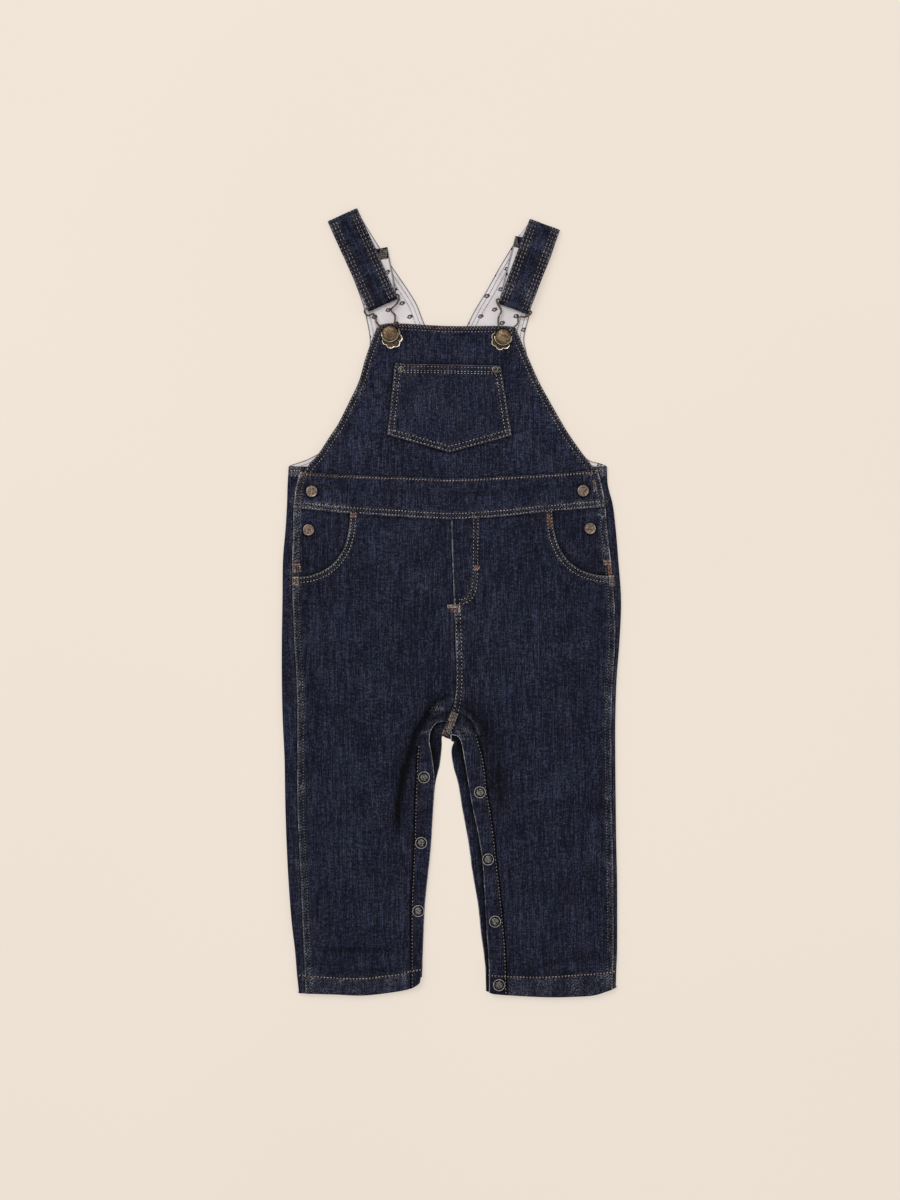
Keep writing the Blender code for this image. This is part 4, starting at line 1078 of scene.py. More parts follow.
def front_leg(side):
    """A front leg from the waistband and the pocket's opening down to its turned hem."""
    count = int(88 / SPACING)
    opening = opening_rail(side, 1.0, count)
    upper = evenly(smooth(CENTRE_SEAM[:5]), count=count)
    heights = np.array([opening[-1][1], *CENTRE_SIDE_Y, *PLACKETS[side]["side_y"][1:]])
    lower = [*CENTRE_SEAM[4:], *PLACKETS[side]["outer"][1:]]
    outer_run, inner_run = rails(side_line(side, heights), lower, SPACING)
    outer, inner = np.vstack((opening[:-1], outer_run)), np.vstack((upper[:-1], inner_run))
    outer[0, 1] += 1.5
    inner[0, 1] += 1.5
    grid = panel(side, outer, shifted(inner, -SIGN[side] * HAIR), hem=HEM_TURN)
    seam, centre = side_line(side, np.linspace(20, HEM_BOTTOM_Y, 60)), smooth(CENTRE_SEAM, 6)
    relief = Relief(grid, {"l": 1, "r": 21}[side]).drape().creased()
    relief.sewn(seam, wear=0.20).edge(seam, 0.8, rim=0.45)
    relief.sewn(opening, wear=0.2).edge(opening, 0.9, rim=0.3)
    # painted shadow under the waistband's edge and the placket's, and under the right leg at the centre seam
    relief.hemmed().under(WAIST_FOOT, 1.8, shade=0.6).under(placket_seam(side, 4), 1.0, shade=0.5)
    if side == "l":
        relief.under(centre, 0.9, shade=0.6)
    else:
        relief.sewn(centre, felled=0.4, wear=0.18).edge(centre, 0.7, rim=0.35)
    points, looks = folded_under(relief.on(front_top), relief.looks, HEM_TURN, -HEM_TURN)
    make(f"front_leg_{side}", points, looks, DENIM, [f"back_leg_{side}", f"pocket_inset_{side}"])


def pocket_inset(side):
    """The hip pocket's inset inside the opening."""
    opening = OPENINGS[side]
    count = int(60 / SPACING)
    seam = side_line(side, np.linspace(float(level(WAIST_LINE, opening["centre"][0])) + 1.0, 14.5, count))
    inner = opening_rail(side, INSET_LAP, count)
    inner[0] = (inner[0][0], float(level(WAIST_LINE, inner[0][0])) + 1.0)
    inner[-1] = (seam[-1][0] + opening["facing"], 14.0)
    relief = Relief(panel(side, seam, inner), {"l": 41, "r": 47}[side]).drape(0.7).creased()
    relief.sewn(seam, wear=0.30, pucker=0.2).edge(seam, 0.8, rim=1.0)
    # painted shadow under the opening's edge and the waistband
    relief.under(opening_rail(side, 1.0, 40), 2.6, shade=0.7).under(WAIST_FOOT, 2.0, shade=0.6)
    make(f"pocket_inset_{side}", relief.on(front_under, DENIM), relief.looks, DENIM, [f"back_leg_{side}"])


def front_placket(side):
    """The double snap placket along a front leg's inside, gathered a little between its snaps."""
    spacing = 0.8 * SPACING
    outer, inner = rails(PLACKETS[side]["outer"], PLACKETS[side]["inner"], spacing)
    outer = shifted(outer, SIGN[side] * HAIR)
    relief = Relief(panel(side, outer, inner, spacing, 0.15), {"l": 61, "r": 67}[side]).drape(0.7).creased()
    relief.sewn(outer, PLACKET_ROWS, felled=0.2, pucker=0.25, pitch=11, reach=9, wear=0.10, slant=0.1)
    relief.edge(inner, 1.1, rim=0.42)
    relief.looks["rim"] *= 1 + 0.9 * ease(-150, -118, relief.y)
    # painted shadow along the sewn part of its outer edge
    relief.under(outer[outer[:, 1] < PLACKET_SEWN[side]], 0.8, shade=0.4).puckered(side)
    make(f"front_placket_{side}", relief.on(front_under, DOUBLE), relief.looks, DOUBLE,
         [f"back_placket_{side}"])


def back_placket(side):
    """The single placket of the back under the front's, darkened with painted shadow."""
    outer, inner = rails(PLACKETS[side]["back_outer"], PLACKETS[side]["back_inner"], SPACING)
    outer = shifted(outer, SIGN[side] * HAIR)
    relief = Relief(panel(side, outer, inner, hem=0.4), {"l": 81, "r": 87}[side]).edge(inner, 0.6, rim=0.5)
    relief.looks["rim"] *= ease(-109, -118, relief.y)
    # painted shadow under the front placket's inner edge, and more of it round the crotch
    relief.under(smooth(PLACKETS[side]["inner"], 4), 3.0, shade=0.9)
    relief.add("shade", 0.6 * bump(relief.y + 118, 13))
    points = relief.on(floor_level, DENIM)
    points[..., 2] = np.maximum(points[..., 2], 0.35)
    make(f"back_placket_{side}", points, relief.looks, 0.95 * DENIM)


def rolled(side, start, y_side):
    """Outer points of a back panel: flat on the surface, up round the side, and over to the side seam."""
    sign = SIGN[side]
    out, seam = at(SIDES, "out_" + side, y_side), at(SIDES, "seam_" + side, y_side)
    bib_side = at(BIB_SIDES, "left" if side == "l" else "right", y_side) + 0.1 * sign
    # It reaches in under the waistband, and to the bib's side.
    under = seam - sign * 1.0 * ease(94, 99, y_side)
    seam = np.where((y_side > 104.5) & (sign * bib_side < sign * under), bib_side, under)
    depth = np.minimum(SIDE_HEIGHT / 2, 0.75 * np.abs(out - seam))
    turn_x = out - sign * depth
    share = np.linspace(0, 1, int(120 / (1.6 * SPACING)))[None, :]
    flat_x = start[:, :1] + (turn_x[:, None] - start[:, :1]) * share
    flat_y = start[:, 1:] + (y_side[:, None] - start[:, 1:]) * share
    angle, lip = np.linspace(0, math.pi, 13)[None, 1:], np.linspace(0, 1, 7)[None, 1:]
    arc_x = turn_x[:, None] + sign * depth[:, None] * np.sin(angle)
    lip_x = turn_x[:, None] + (seam - turn_x)[:, None] * lip
    arc_z = np.broadcast_to(SIDE_HEIGHT / 2 * (1 - np.cos(angle)), arc_x.shape)
    x = np.hstack((flat_x, arc_x, lip_x))
    y = np.hstack((flat_y, np.broadcast_to(y_side[:, None], (len(y_side), angle.size + lip.size))))
    z = np.hstack((0 * flat_x, arc_z, 0 * lip_x + SIDE_HEIGHT))
    return np.stack((x, y, z), axis=-1)


def back_relief(points, seed, seams):
    """Looks of a rolled back panel: puckers along the side seam on the lip, with painted shade in their
    troughs and painted shadow at the seam, and soft creases underneath.
    """
    relief = Relief(points, seed).drape(0.6)
    for seam in seams:
        relief.sewn(seam, (1.2,), felled=0.0, pucker=0.22, pitch=8, reach=6, wear=0.16)
        relief.under(seam, 0.7, shade=0.3)
    upper, lower = ease(1.0, 3.0, points[..., 2]), 1 - ease(0.0, 0.6, points[..., 2])
    points[..., 2] += relief.height * upper + 0.35 * np.clip(relief.height, 0, 1) * lower
    relief.looks["seam"] = np.where(upper > 0.5, relief.looks["seam"], FAR)
    # the painted shade is kept, weakened, on the lip alone
    relief.looks["shade"] = 0.3 * relief.looks["shade"] * upper
    relief.looks["wear"] *= upper
    return relief


def back_leg(side):
    """A back leg, flat on the surface and rolled round the side to the front."""
    inner = [*BACK_CENTRE, *PLACKETS[side]["back_outer"][1:]]
    inner, side_run = rails(inner, [(0, y) for y in BACK_SIDE_Y], 1.3 * SPACING)
    points = rolled(side, shifted(inner, -SIGN[side] * HAIR), side_run[:, 1])
    points[..., 1] = to_hem(points[..., 0], points[..., 1], HEM_TURN)
    seam = side_line(side, np.linspace(80, HEM_BOTTOM_Y, 60))
    relief = back_relief(points, {"l": 101, "r": 107}[side], [seam])
    relief.add("wear", 0.05 * (1 - ease(-1.5, 0, hem_rise(points[..., 0], points[..., 1]))))
    inwards = np.where(points[-1, :, 2] > SIDE_HEIGHT / 2, -0.6, 0.6)
    points, looks = folded_under(points, relief.looks, 0.9 * HEM_TURN, inwards)
    if side == "r":
        points, looks = flipped(points, looks)
    make(f"back_leg_{side}", points, looks, 0.95 * DENIM, held="folded")


def back_waistband():
    """The back's waistband, rolled to the front at both sides."""
    heights = np.linspace(BACK_TOP_Y, WAIST_JOIN_Y, int(33 / SPACING) + 1)
    left, right = (rolled(side, np.column_stack((0 * heights, heights)), heights) for side in "lr")
    points = np.concatenate((left[:, ::-1], right[:, 1:]), axis=1)
    seams = [side_line(side, np.linspace(BACK_TOP_Y, WAIST_JOIN_Y, 12)) for side in "lr"]
    relief = back_relief(points, 113, seams)
    relief.add("wear", 0.30 * ease(8.2, 6.8, BACK_TOP_Y - points[..., 1]) * ease(1.0, 3.0, points[..., 2]))
    make("back_waistband", *flipped(points, relief.looks), 0.95 * DENIM, held="folded")


def hem_turnings(side):
    """The turned-up hems inside a leg."""
    sign = SIGN[side]
    inner_x = PLACKETS[side]["inner"][-1][0] + sign
    for part, height, edge, inset in (("back", ON_BACK, "out_", 2.6),
                                      ("front", ON_BACK + LIFT, "seam_", 0.8)):
        ends = inner_x, float(at(SIDES, edge + side, HEM_TOP_Y)) - sign * inset
        x = np.linspace(min(ends), max(ends), int(84 / SPACING))
        grid = np.array([np.column_stack((x, to_hem(x, np.full(x.shape, y), 1.0)))
                         for y in np.linspace(HEM_TOP_Y, HEM_BOTTOM_Y, 8)])
        relief = Relief(grid, 131)
        relief.height += 0.08 * noise(relief.x, relief.y, 6, 5)
        make(f"{part}_hem_{side}", relief.on(floor_level, height + DENIM), relief.looks, 0.9 * DENIM,
             [f"back_leg_{side}"], "folded")


def waistband():
    """The front waistband, double, over the tops of the legs and the foot of the bib."""
    share = np.linspace(0, 1, int(245 / SPACING))
    left, right = WAISTBAND_ENDS["left"], WAISTBAND_ENDS["right"]
    bottom_x, top_x = (left[k] + (right[k] - left[k]) * share for k in (0, -1))
    bottom = np.column_stack((bottom_x, level(WAIST_LINE, bottom_x) - 0.2))
    top = np.column_stack((top_x, level(BIB_SEAM, top_x) + 0.8))
    grid = closer_rows(columns_between(top, bottom, SPACING).transpose(1, 0, 2))
    across = np.linspace(-1, 1, grid.shape[1])
    for end, k, near in (("left", 0, ease(-0.85, -1, across)), ("right", -1, ease(0.85, 1, across))):
        grid[..., 0] += near * (at(WAISTBAND_ENDS, end, grid[:, k, 1]) - grid[:, k, 0])[:, None]
    ends = grid[:, 0], grid[:, -1]
    relief = Relief(grid, 151).drape(0.8)
    x, y = relief.x, relief.y
    relief.sewn(bottom, felled=0.35, pucker=0.22, pitch=6, wear=0.20).edge(bottom, 1.3, rim=0.25)
    relief.sewn(top, (1.6,), felled=0.0, pucker=0.16, pitch=8, reach=3, wear=0.10)
    relief.edge(top, 0.7, rim=0.1, wear=0)
    for end in ends:
        relief.sewn(end, felled=0.2, pucker=0.16, pitch=6, wear=0.2).edge(end, 1.2, rim=1.1, wear=0.12)
    rise = y - level(WAIST_LINE, x)
    streaks = 0.55 + 0.45 * noise(x, 0.4 * y, 7, 5)
    band = ease(8.5, 5.5, rise) * ease(-0.5, 1.0, rise)
    relief.add("wear", band * streaks * (0.06 + 0.16 * bump(x + 104, 26) + 0.12 * bump(x - 96, 30)))
    crease = bump(rise - 31 * (0.6 + 0.05 * noise(x, 0 * x, 30, 9)), 2.4)
    relief.height -= 0.5 * crease * ease(-125, -105, x) * ease(125, 100, x)
    # painted shade in the crease
    relief.add("shade", 0.35 * crease)
    make("front_waistband", relief.on(waistband_top), relief.looks, 0.9 * DOUBLE,
         ["front_leg_l", "front_leg_r", "back_waistband"], material=DENIM_UPPER)
    return bottom, top, *ends


def front_bib():
    """The front bib, with twin rows along its sides and its top hem."""
    v = np.linspace(0, 1, int(120 / SPACING))
    heights = BIB_SIDES["y"][0] + (BIB_SIDES["y"][-1] - BIB_SIDES["y"][0]) * v
    sides = (np.column_stack((at(BIB_SIDES, key, heights), heights)) for key in ("left", "right"))
    x = columns_between(*sides, SPACING)[..., 0]
    bottom, top = level(BIB_SEAM, x) - 1.0, level(BIB_TOP, x)
    grid = closer_rows(np.stack((x, bottom + (top - bottom) * v[:, None]), axis=-1)[::-1])
    left_edge, top_edge, right_edge = grid[::-1, 0], grid[0], grid[:, -1]
    relief = Relief(grid, 171).drape().creased()
    for edge in (left_edge, right_edge):
        relief.sewn(edge, pucker=0.24, wear=0.17).edge(edge, 0.9, rim=0.28)
    relief.sewn(top_edge, felled=0.6, pucker=0.18, pitch=9, wear=0.08).edge(top_edge, 1.0, rim=0.25)
    # painted shadow under the waistband's top edge
    relief.under(np.column_stack((x[0], level(BIB_SEAM, x[0]) + 0.8)), 1.2, shade=0.2)
    top, bottom = smooth(BIB_POCKET["top"], 4), smooth(BIB_POCKET["bottom"], 4)
    # painted shadow round the pocket's edges
    relief.under(np.vstack((top, bottom[::-1], top[:1])), 2.0, shade=0.6)
    make("front_bib", relief.on(bib_top), relief.looks, DENIM, ["back_lining"], material=DENIM_UPPER)
    return left_edge, top_edge, right_edge


def bib_pocket():
    """The bib's five-sided patch pocket, with a deep top hem."""
    bottom = evenly(BIB_POCKET["bottom"], 0.9 * SPACING)
    top = evenly(BIB_POCKET["top"], count=len(bottom))
    grid = columns_between(top, bottom, 0.9 * SPACING).transpose(1, 0, 2)
    top_edge, bottom_edge, left_edge, right_edge = grid[0], grid[-1], grid[:, 0], grid[:, -1]
    relief = Relief(grid, 191).drape(0.7)
    for edge in (left_edge, right_edge, bottom_edge):
        relief.sewn(edge, pucker=0.18, wear=0.16).edge(edge, 0.9, rim=0.24)
    relief.sewn(top_edge, POCKET_ROWS, felled=0.4, pucker=0.12, wear=0.1).edge(top_edge, 0.9, rim=0.28)
    make("bib_pocket", relief.on(bib_top, LIFT), relief.looks, 0.9 * DENIM, ["front_bib"],
         material=DENIM_UPPER)
    return top_edge, np.vstack((left_edge, bottom_edge[1:], right_edge[::-1][1:]))


def fly_flap():
    """The mock fly's flap beside the centre seam."""
    edge, curve = rails(FLY["edge"], FLY["curve"], SPACING)
    edge[0, 1] += 2.0
    curve[0, 1] += 2.0
    relief = Relief(columns_between(edge, curve, 0.9 * SPACING), 211).drape(0.6)
    relief.sewn(curve, felled=0.0, pucker=0.14, wear=0.16).edge(edge, 0.8, rim=0.5)
    relief.height -= 1.15 * (1 - ease(0.0, 1.1, nearest(relief.x, relief.y, curve)[0]))
    # painted shadow under the waistband's edge
    relief.under(WAIST_FOOT, 2.0, shade=0.6)
    make("fly_flap", relief.on(front_top, LIFT), relief.looks, 0.9 * DENIM, ["front_leg_r"])
    return curve


# ------------------------------------------------------------------------------------------ straps


def strap_frame(side):
    """A strap's own directions: its fold's middle, down along it, and across it to the viewer's right."""
    fold, end = (np.array(STRAPS[side][key]) for key in ("fold", "end"))
    length = np.linalg.norm(end - fold)
    along = (end - fold) / length
    return fold, along, np.array((-along[1], along[0])), length


def half_turn(centre, radius, start, count=12):
    """Rows of a route round half a circle, clockwise from an angle in degrees."""
    angles = np.radians(start - 180 * np.arange(count + 1) / count)
    return [(centre[0] + radius * math.cos(a), centre[1] + radius * math.sin(a), 0, 0) for a in angles]


def strap_front(side, depth, tail_tip):
    """Rows of a strap from behind the fold's front, round the buckle's bar and up to its loose tip.

    A row is the distance from the fold, height, sideways shift, and how much the row is turned."""
    strap, length = STRAPS[side], strap_frame(side)[3]
    bar = (length - LOOP_RADIUS, ON_LINING + LOOP_RADIUS)
    tip = length - strap["tail"]
    slope = strap["slant"] / (bar[0] - tip)
    corner = tip - abs(slope) * STRAP_WIDTH / 2
    flat = [(distance, STRAP_LOW) for distance in np.linspace(STRAP_LOW + 2, corner - 6, 6)]
    high = [(corner + 2, STRAP_HIGH - 0.2), (corner + 12, STRAP_HIGH), (bar[0] - 8, STRAP_HIGH + 1.2)]
    loop = half_turn(bar, LOOP_RADIUS - DENIM / 2 - depth, 90)
    tail = []
    for distance in np.linspace(bar[0] - 6, tip + tail_tip, 8):
        back = bar[0] - distance
        tail.append((distance, loop[-1][1], slope * back, slope * float(ease(0, 20, back))))
    return [*((d, z - depth, 0, 0) for d, z in flat + high), *loop, *tail]


def ribbon(node, side, route, width, thick, seed, rows=STRAP_ROWS, **others):
    """A band of cloth along a strap, its outer side half its thickness out from the route."""
    fold, along, across, _ = strap_frame(side)
    route = evenly(smooth(route, 6), 0.8 * SPACING)
    tangent = np.gradient(route[:, :2], axis=0)
    tangent /= np.linalg.norm(tangent, axis=1)[:, None]
    normal = np.column_stack((-tangent[:, 1], tangent[:, 0]))
    near = np.array(EDGE_STEPS)
    inner = np.linspace(near[-1], width - near[-1], int(width / (0.8 * SPACING)))[1:-1]
    sideways = np.concatenate((near, inner, width - near[::-1])) - width / 2
    far = travelled(route[:, :2])[:, None] + 0 * sideways
    from_edge = (width / 2 - np.abs(sideways))[None, :] + 0 * far
    relief = Relief(np.stack((far, sideways + 0 * far), axis=-1), seed).drape(0.5)
    if rows:
        for sign in (-1, 1):
            edge = np.column_stack((far[:, 0], np.full(len(far), sign * width / 2)))
            relief.sewn(edge, rows, felled=0.15, pucker=0.16, pitch=6, wear=0.2, slant=0.5)
    relief.height -= rounding(from_edge, 0.7)
    relief.looks["edge"] = from_edge
    relief.add("rim", 0.4 * np.clip(0.7 + noise(far, sideways + 0 * far, 9, seed + 9), 0, 1.2))
    relief.add("wear", 0.12 * bump(from_edge, 1.2))
    out = thick / 2 + relief.height
    distance = route[:, 0:1] + normal[:, 0:1] * out + route[:, 3:4] * sideways
    height = np.maximum(route[:, 1:2] + normal[:, 1:2] * out, 0)
    place = (fold + distance[..., None] * along
             + (sideways[None, :] + route[:, 2:3])[..., None] * across)
    make(node, np.concatenate((place, height[..., None]), axis=-1), relief.looks, thick, held="folded",
         sharp=70, **others)


def strap(side):
    """A strap over its shoulder fold, round the buckle's bar and back up behind, and its lining."""
    radius = (STRAP_LOW - DENIM / 2) / 2
    fold = half_turn((radius + DENIM / 2, radius + DENIM / 2), radius, 270)
    across = strap_frame(side)[2]
    turn = math.atan2(across[1], across[0])
    route = [(STRAP_START, DENIM / 2, 0, 0), *fold, *strap_front(side, 0, 0)]
    ribbon(f"strap_{side}", side, route, STRAP_WIDTH, DENIM, {"l": 231, "r": 237}[side],
           rests_on=["back_bib", "back_lining"], material=denim(f"strap denim {side}", -turn, 1.12))
    route = strap_front(side, DENIM / 2 + SEAM_GAP + LINING / 2, TAIL_TURN)
    ribbon(f"strap_lining_{side}", side, route, STRAP_WIDTH - 2 * LINING_INSET, 0.9 * LINING, 241, rows=(),
           rests_on=["back_lining"], material=printed(f"strap lining {side}", -turn), slot="printed_lining")


def upper_back(node, reach, edge, height, thick, material, slot):
    """The back above the waist, or the printed lining on it, in one piece to under the straps."""
    pieces, looks = [], []
    low_count, high_count = int(118 / (1.2 * SPACING)), int(96 / (1.2 * SPACING))
    share = np.linspace(0, 1, int(78 / (1.2 * SPACING)))[None, :, None]
    for side, sign in (("l", 1), ("r", -1)):
        fold, along, across, _ = strap_frame(side)
        tip, half = fold + reach * along, sign * (STRAP_WIDTH / 2 - edge) * across
        outer = np.vstack((shifted(smooth(SHOULDERS[side]["armhole"], 6), sign * edge), tip - half))
        inner = np.vstack((shifted(smooth(SHOULDERS[side]["neckline"], 6), -sign * edge), tip + half))
        split = int(np.argmin(np.abs(outer[:, 1] - NECK_SPLIT_Y)))
        low_inner = np.column_stack((np.zeros(low_count), np.linspace(BACK_FOOT_Y, NECK_Y, low_count)))
        high_inner = evenly(np.vstack(([(0, NECK_Y)], inner[1:])), count=high_count)
        low_outer = evenly(outer[:split + 1], count=low_count)
        high_outer = evenly(outer[split:], count=high_count)
        left, right = np.vstack((low_outer[:-1], high_outer)), np.vstack((low_inner[:-1], high_inner))
        grid = left[:, None] + (right - left)[:, None] * share
        relief = Relief((grid if side == "l" else grid[:, ::-1])[::-1], 251)
        relief.height += 0.12 * noise(relief.x, relief.y, 24, 3)
        if slot == "printed_lining":
            for line in (outer, inner):
                relief.sewn(line, LINING_ROWS, felled=0.12, pucker=0.14, pitch=8, reach=5, wear=0)
                relief.edge(line, 0.4, wear=0)
            # the painted shade along the lining's rows is kept weak
            relief.looks["shade"] *= 0.35
        else:
            relief.height = np.minimum(relief.height, 0.2)
        pieces.append(relief.on(floor_level, height))
        looks.append(relief.looks)
    make(node, pieces, looks, thick, material=material, slot=slot, box=BACK_BOX)


# ------------------------------------------------------------------------------------------ stitches


def stitch_tree():
    """Geometry nodes that lay a stitch at every step along each line of a mesh."""
    nodes = Nodes(bpy.data.node_groups.new("stitches along a line", "GeometryNodeTree"))
    add, new_socket = nodes.add, nodes.tree.interface.new_socket
    for name, kind in (("Line", "Geometry"), ("Step", "Float"), ("Length", "Float"), ("Width", "Float"),
                       ("Height", "Float"), ("Shift", "Float"), ("Turn", "Float"), ("Thread", "Material")):
        new_socket(name, in_out="INPUT", socket_type=f"NodeSocket{kind}")
    new_socket("Stitches", in_out="OUTPUT", socket_type="NodeSocketGeometry")

    def uneven(low, high, seed):
        return add("FunctionNodeRandomValue", {2: low, 3: high, "Seed": seed}, data_type="FLOAT").outputs[1]

    given = add("NodeGroupInput").outputs
    line = add("GeometryNodeMeshToCurve", {"Mesh": given["Line"]})
    steps = add("GeometryNodeResampleCurve", {"Curve": line, "Length": given["Step"]}, mode="LENGTH")
    tangent = add("GeometryNodeInputTangent")
    shift = add("ShaderNodeVectorMath", {0: tangent, "Scale": given["Shift"]}, operation="SCALE")
    moved = add("GeometryNodeSetPosition", {"Geometry": steps, "Offset": shift})
    facing = add("FunctionNodeAlignRotationToVector", {"Vector": tangent}, axis="X")
    angle = add("ShaderNodeMath", {0: given["Turn"], 1: uneven(-0.09, 0.09, 5)}, operation="ADD")
    spin = add("FunctionNodeEulerToRotation", {0: add("ShaderNodeCombineXYZ", {"Z": angle})})
    rotation = add("FunctionNodeRotateRotation", {0: facing, 1: spin}, rotation_space="LOCAL")
    ball = add("GeometryNodeMeshUVSphere", {"Segments": 6, "Rings": 5, "Radius": 0.5})
    size = add("ShaderNodeCombineXYZ", {"X": given["Length"], "Y": given["Width"], "Z": given["Height"]})
    scale = add("ShaderNodeVectorMath", {0: size, "Scale": uneven(0.88, 1.08, 9)}, operation="SCALE")
    laid = add("GeometryNodeInstanceOnPoints", {"Points": moved, "Instance": ball, "Rotation": rotation,
                                                "Scale": scale})
    real = add("GeometryNodeRealizeInstances", {"Geometry": laid})
    smoothed = add("GeometryNodeSetShadeSmooth", {"Geometry": real})
    coloured = add("GeometryNodeSetMaterial", {"Geometry": smoothed, "Material": given["Thread"]})
    add("NodeGroupOutput", {"Stitches": coloured})
    return nodes.tree


STITCHES = stitch_tree()
HOLE_SHADE = needle_hole_shade()
LINE_STEP = 0.8  # between the points of a line that stitches are laid along
STEP_UP = 1.5  # the height past which a line of stitches breaks off

# Threads: the pale colour and the deep one, and the size of the patches of each.
THREADS = {name: thread(f"{name} thread", *colours) for name, *colours in (
    ("cream", (0.84, 0.755, 0.715), (0.44, 0.36, 0.33), 9.0),
    ("tan", (0.68, 0.56, 0.48), (0.33, 0.235, 0.19), 9.0),
    ("brown", (0.46, 0.32, 0.25), (0.15, 0.075, 0.058), 5.0),
    ("orange", (0.56, 0.33, 0.18), (0.22, 0.09, 0.045), 5.0),
    ("faded", (0.33, 0.33, 0.37), (0.095, 0.092, 0.112), 7.0),
    ("dim", (0.15, 0.125, 0.125), (0.034, 0.025, 0.027), 3.0),
    ("lining", (0.085, 0.058, 0.064), (0.040, 0.027, 0.031), 16.0),
    ("strap", (0.56, 0.48, 0.45), (0.25, 0.19, 0.175), 5.0),
    ("scuffed", (0.20, 0.125, 0.115), (0.070, 0.040, 0.040), 2.0),
    ("rust", (0.42, 0.23, 0.17), (0.15, 0.055, 0.040), 4.0),
    ("cream tack", (0.80, 0.72, 0.58), (0.24, 0.075, 0.045), 1.8),
    ("orange tack", (0.52, 0.25, 0.14), (0.13, 0.035, 0.030), 1.8),
    ("tan tack", (0.50, 0.415, 0.31), (0.10, 0.062, 0.050), 1.5),
)}


class Surface:
    """The top, or the underside, of the pieces in the place of some nodes, to lay stitches on."""

    def __init__(self, *nodes, below=False):
        meshes = [PIECES[node].data for node in nodes]
        self.trees = [BVHTree.FromPolygons([v.co[:] for v in mesh.vertices],
                                           [p.vertices[:] for p in mesh.polygons]) for mesh in meshes]
        self.way = -1 if below else 1

    def height(self, x, y):
        """Height in millimetres of the surface at a place, or None beside it."""
        start, ray = Vector((x * MM, y * MM, 0.05 * self.way)), Vector((0, 0, -self.way))
        hits = [tree.ray_cast(start, ray)[0] for tree in self.trees]
        return max((hit.z / MM for hit in hits if hit is not None), key=lambda z: z * self.way, default=None)


def sew(name, lines, spool, step=3.0, length=None, width=0.55, turn=0.0, sunk=0.08, hole=(0.42, 0.85)):
    """Stitches along lines, each with the surface that it is sewn to, and painted shade at the needle's hole
    between each two of them.

    A hole is its share of a step, and its width. With none, the stitches lie side by side."""
    points, edges = [], []
    spare = math.ceil(step / 2 / LINE_STEP) if hole else 0  # a hole lies half a step past the last stitch
    for surface, line in lines:
        runs = [[]]
        for x, y in evenly(line, LINE_STEP)[:, :2]:
            z = surface.height(x, y)
            if z is None or (runs[-1] and abs(z - runs[-1][-1][2]) > STEP_UP):
                runs.append([])
            if z is not None:
                runs[-1].append((x, y, z))
        for run in runs:
            run = run[:max(len(run) - spare, 0)]
            edges += [(len(points) + k, len(points) + k + 1) for k in range(len(run) - 1)]
            points += [(x * MM, y * MM, (z - surface.way * sunk) * MM) for x, y, z in run]
    mesh = bpy.data.meshes.new(name)
    mesh.from_pydata(points, edges, [])
    sizes = [(name, length or 0.60 * step, width, width, 0.0, THREADS[spool])]
    if hole:
        # each needle's hole is a dark flattened ball: painted shade
        sizes.append((name.replace("stitches", "holes"), hole[0] * step, hole[1], 0.36, step / 2, HOLE_SHADE))
    for part, long, wide, high, shift, finish in sizes:
        rows = linked(part, mesh)
        nodes = modified(rows, "NODES", node_group=STITCHES)
        values = {"Step": step * MM, "Length": long * MM, "Width": wide * MM, "Height": high * MM,
                  "Shift": shift * MM, "Turn": turn, "Thread": finish}
        for item in STITCHES.interface.items_tree:
            if item.name in values:
                nodes[item.identifier] = values[item.name]
        declared(plain_mesh(rows), "indigo_denim")


def sew_tacks(name, tacks):
    """Bar tacks: dense stitches side by side along a short line, each as long as the tack is wide."""
    garment = Surface(*[node for node in PIECES if "hem" not in node])
    lines = []
    for x, y, length, width, angle in tacks:
        along = np.array((math.cos(math.radians(angle)), math.sin(math.radians(angle))))
        half, aside = length / 2 * along, np.array((-along[1], along[0])) * TACK_STITCH
        count = max(int(round(width / TACK_STITCH)), 1)
        lines += [(garment, np.array(((x, y) - half, (x, y) + half)) + aside * (k - (count - 1) / 2))
                  for k in range(count)]
    sew(f"tacks_{name}", lines, f"{name} tack", 0.78, TACK_STITCH * 1.1, turn=math.pi / 2, sunk=0.0,
        hole=(0.4, 1.4))


def twin(surface, line, rows, side):
    """Stitch rows along a line, at distances to its right (side 1) or its left (-1)."""
    return [(surface, shifted(evenly(line, 2.0), side * row)) for row in rows]


def straight(surface, *ends):
    """Straight rows, each from one place to another."""
    return [(surface, np.array(((a, b), (c, d)))) for a, b, c, d in ends]


# ------------------------------------------------------------------------------------------ fittings

# Profiles of the round fittings: radius and height, down the outside.
BUTTON = ((0, 4.9), (1.6, 4.88), (3.2, 4.74), (4.4, 4.52), (5.2, 4.25), (5.8, 3.95), (6.2, 3.62),
          (6.35, 3.42), (6.5, 3.55), (6.75, 3.5), (6.95, 3.2), (7.0, 2.9), (6.9, 2.6), (6.5, 2.4),
          (5.8, 2.45), (2.2, 2.4), (2.0, 2.2), (2.0, 0), (0, 0))
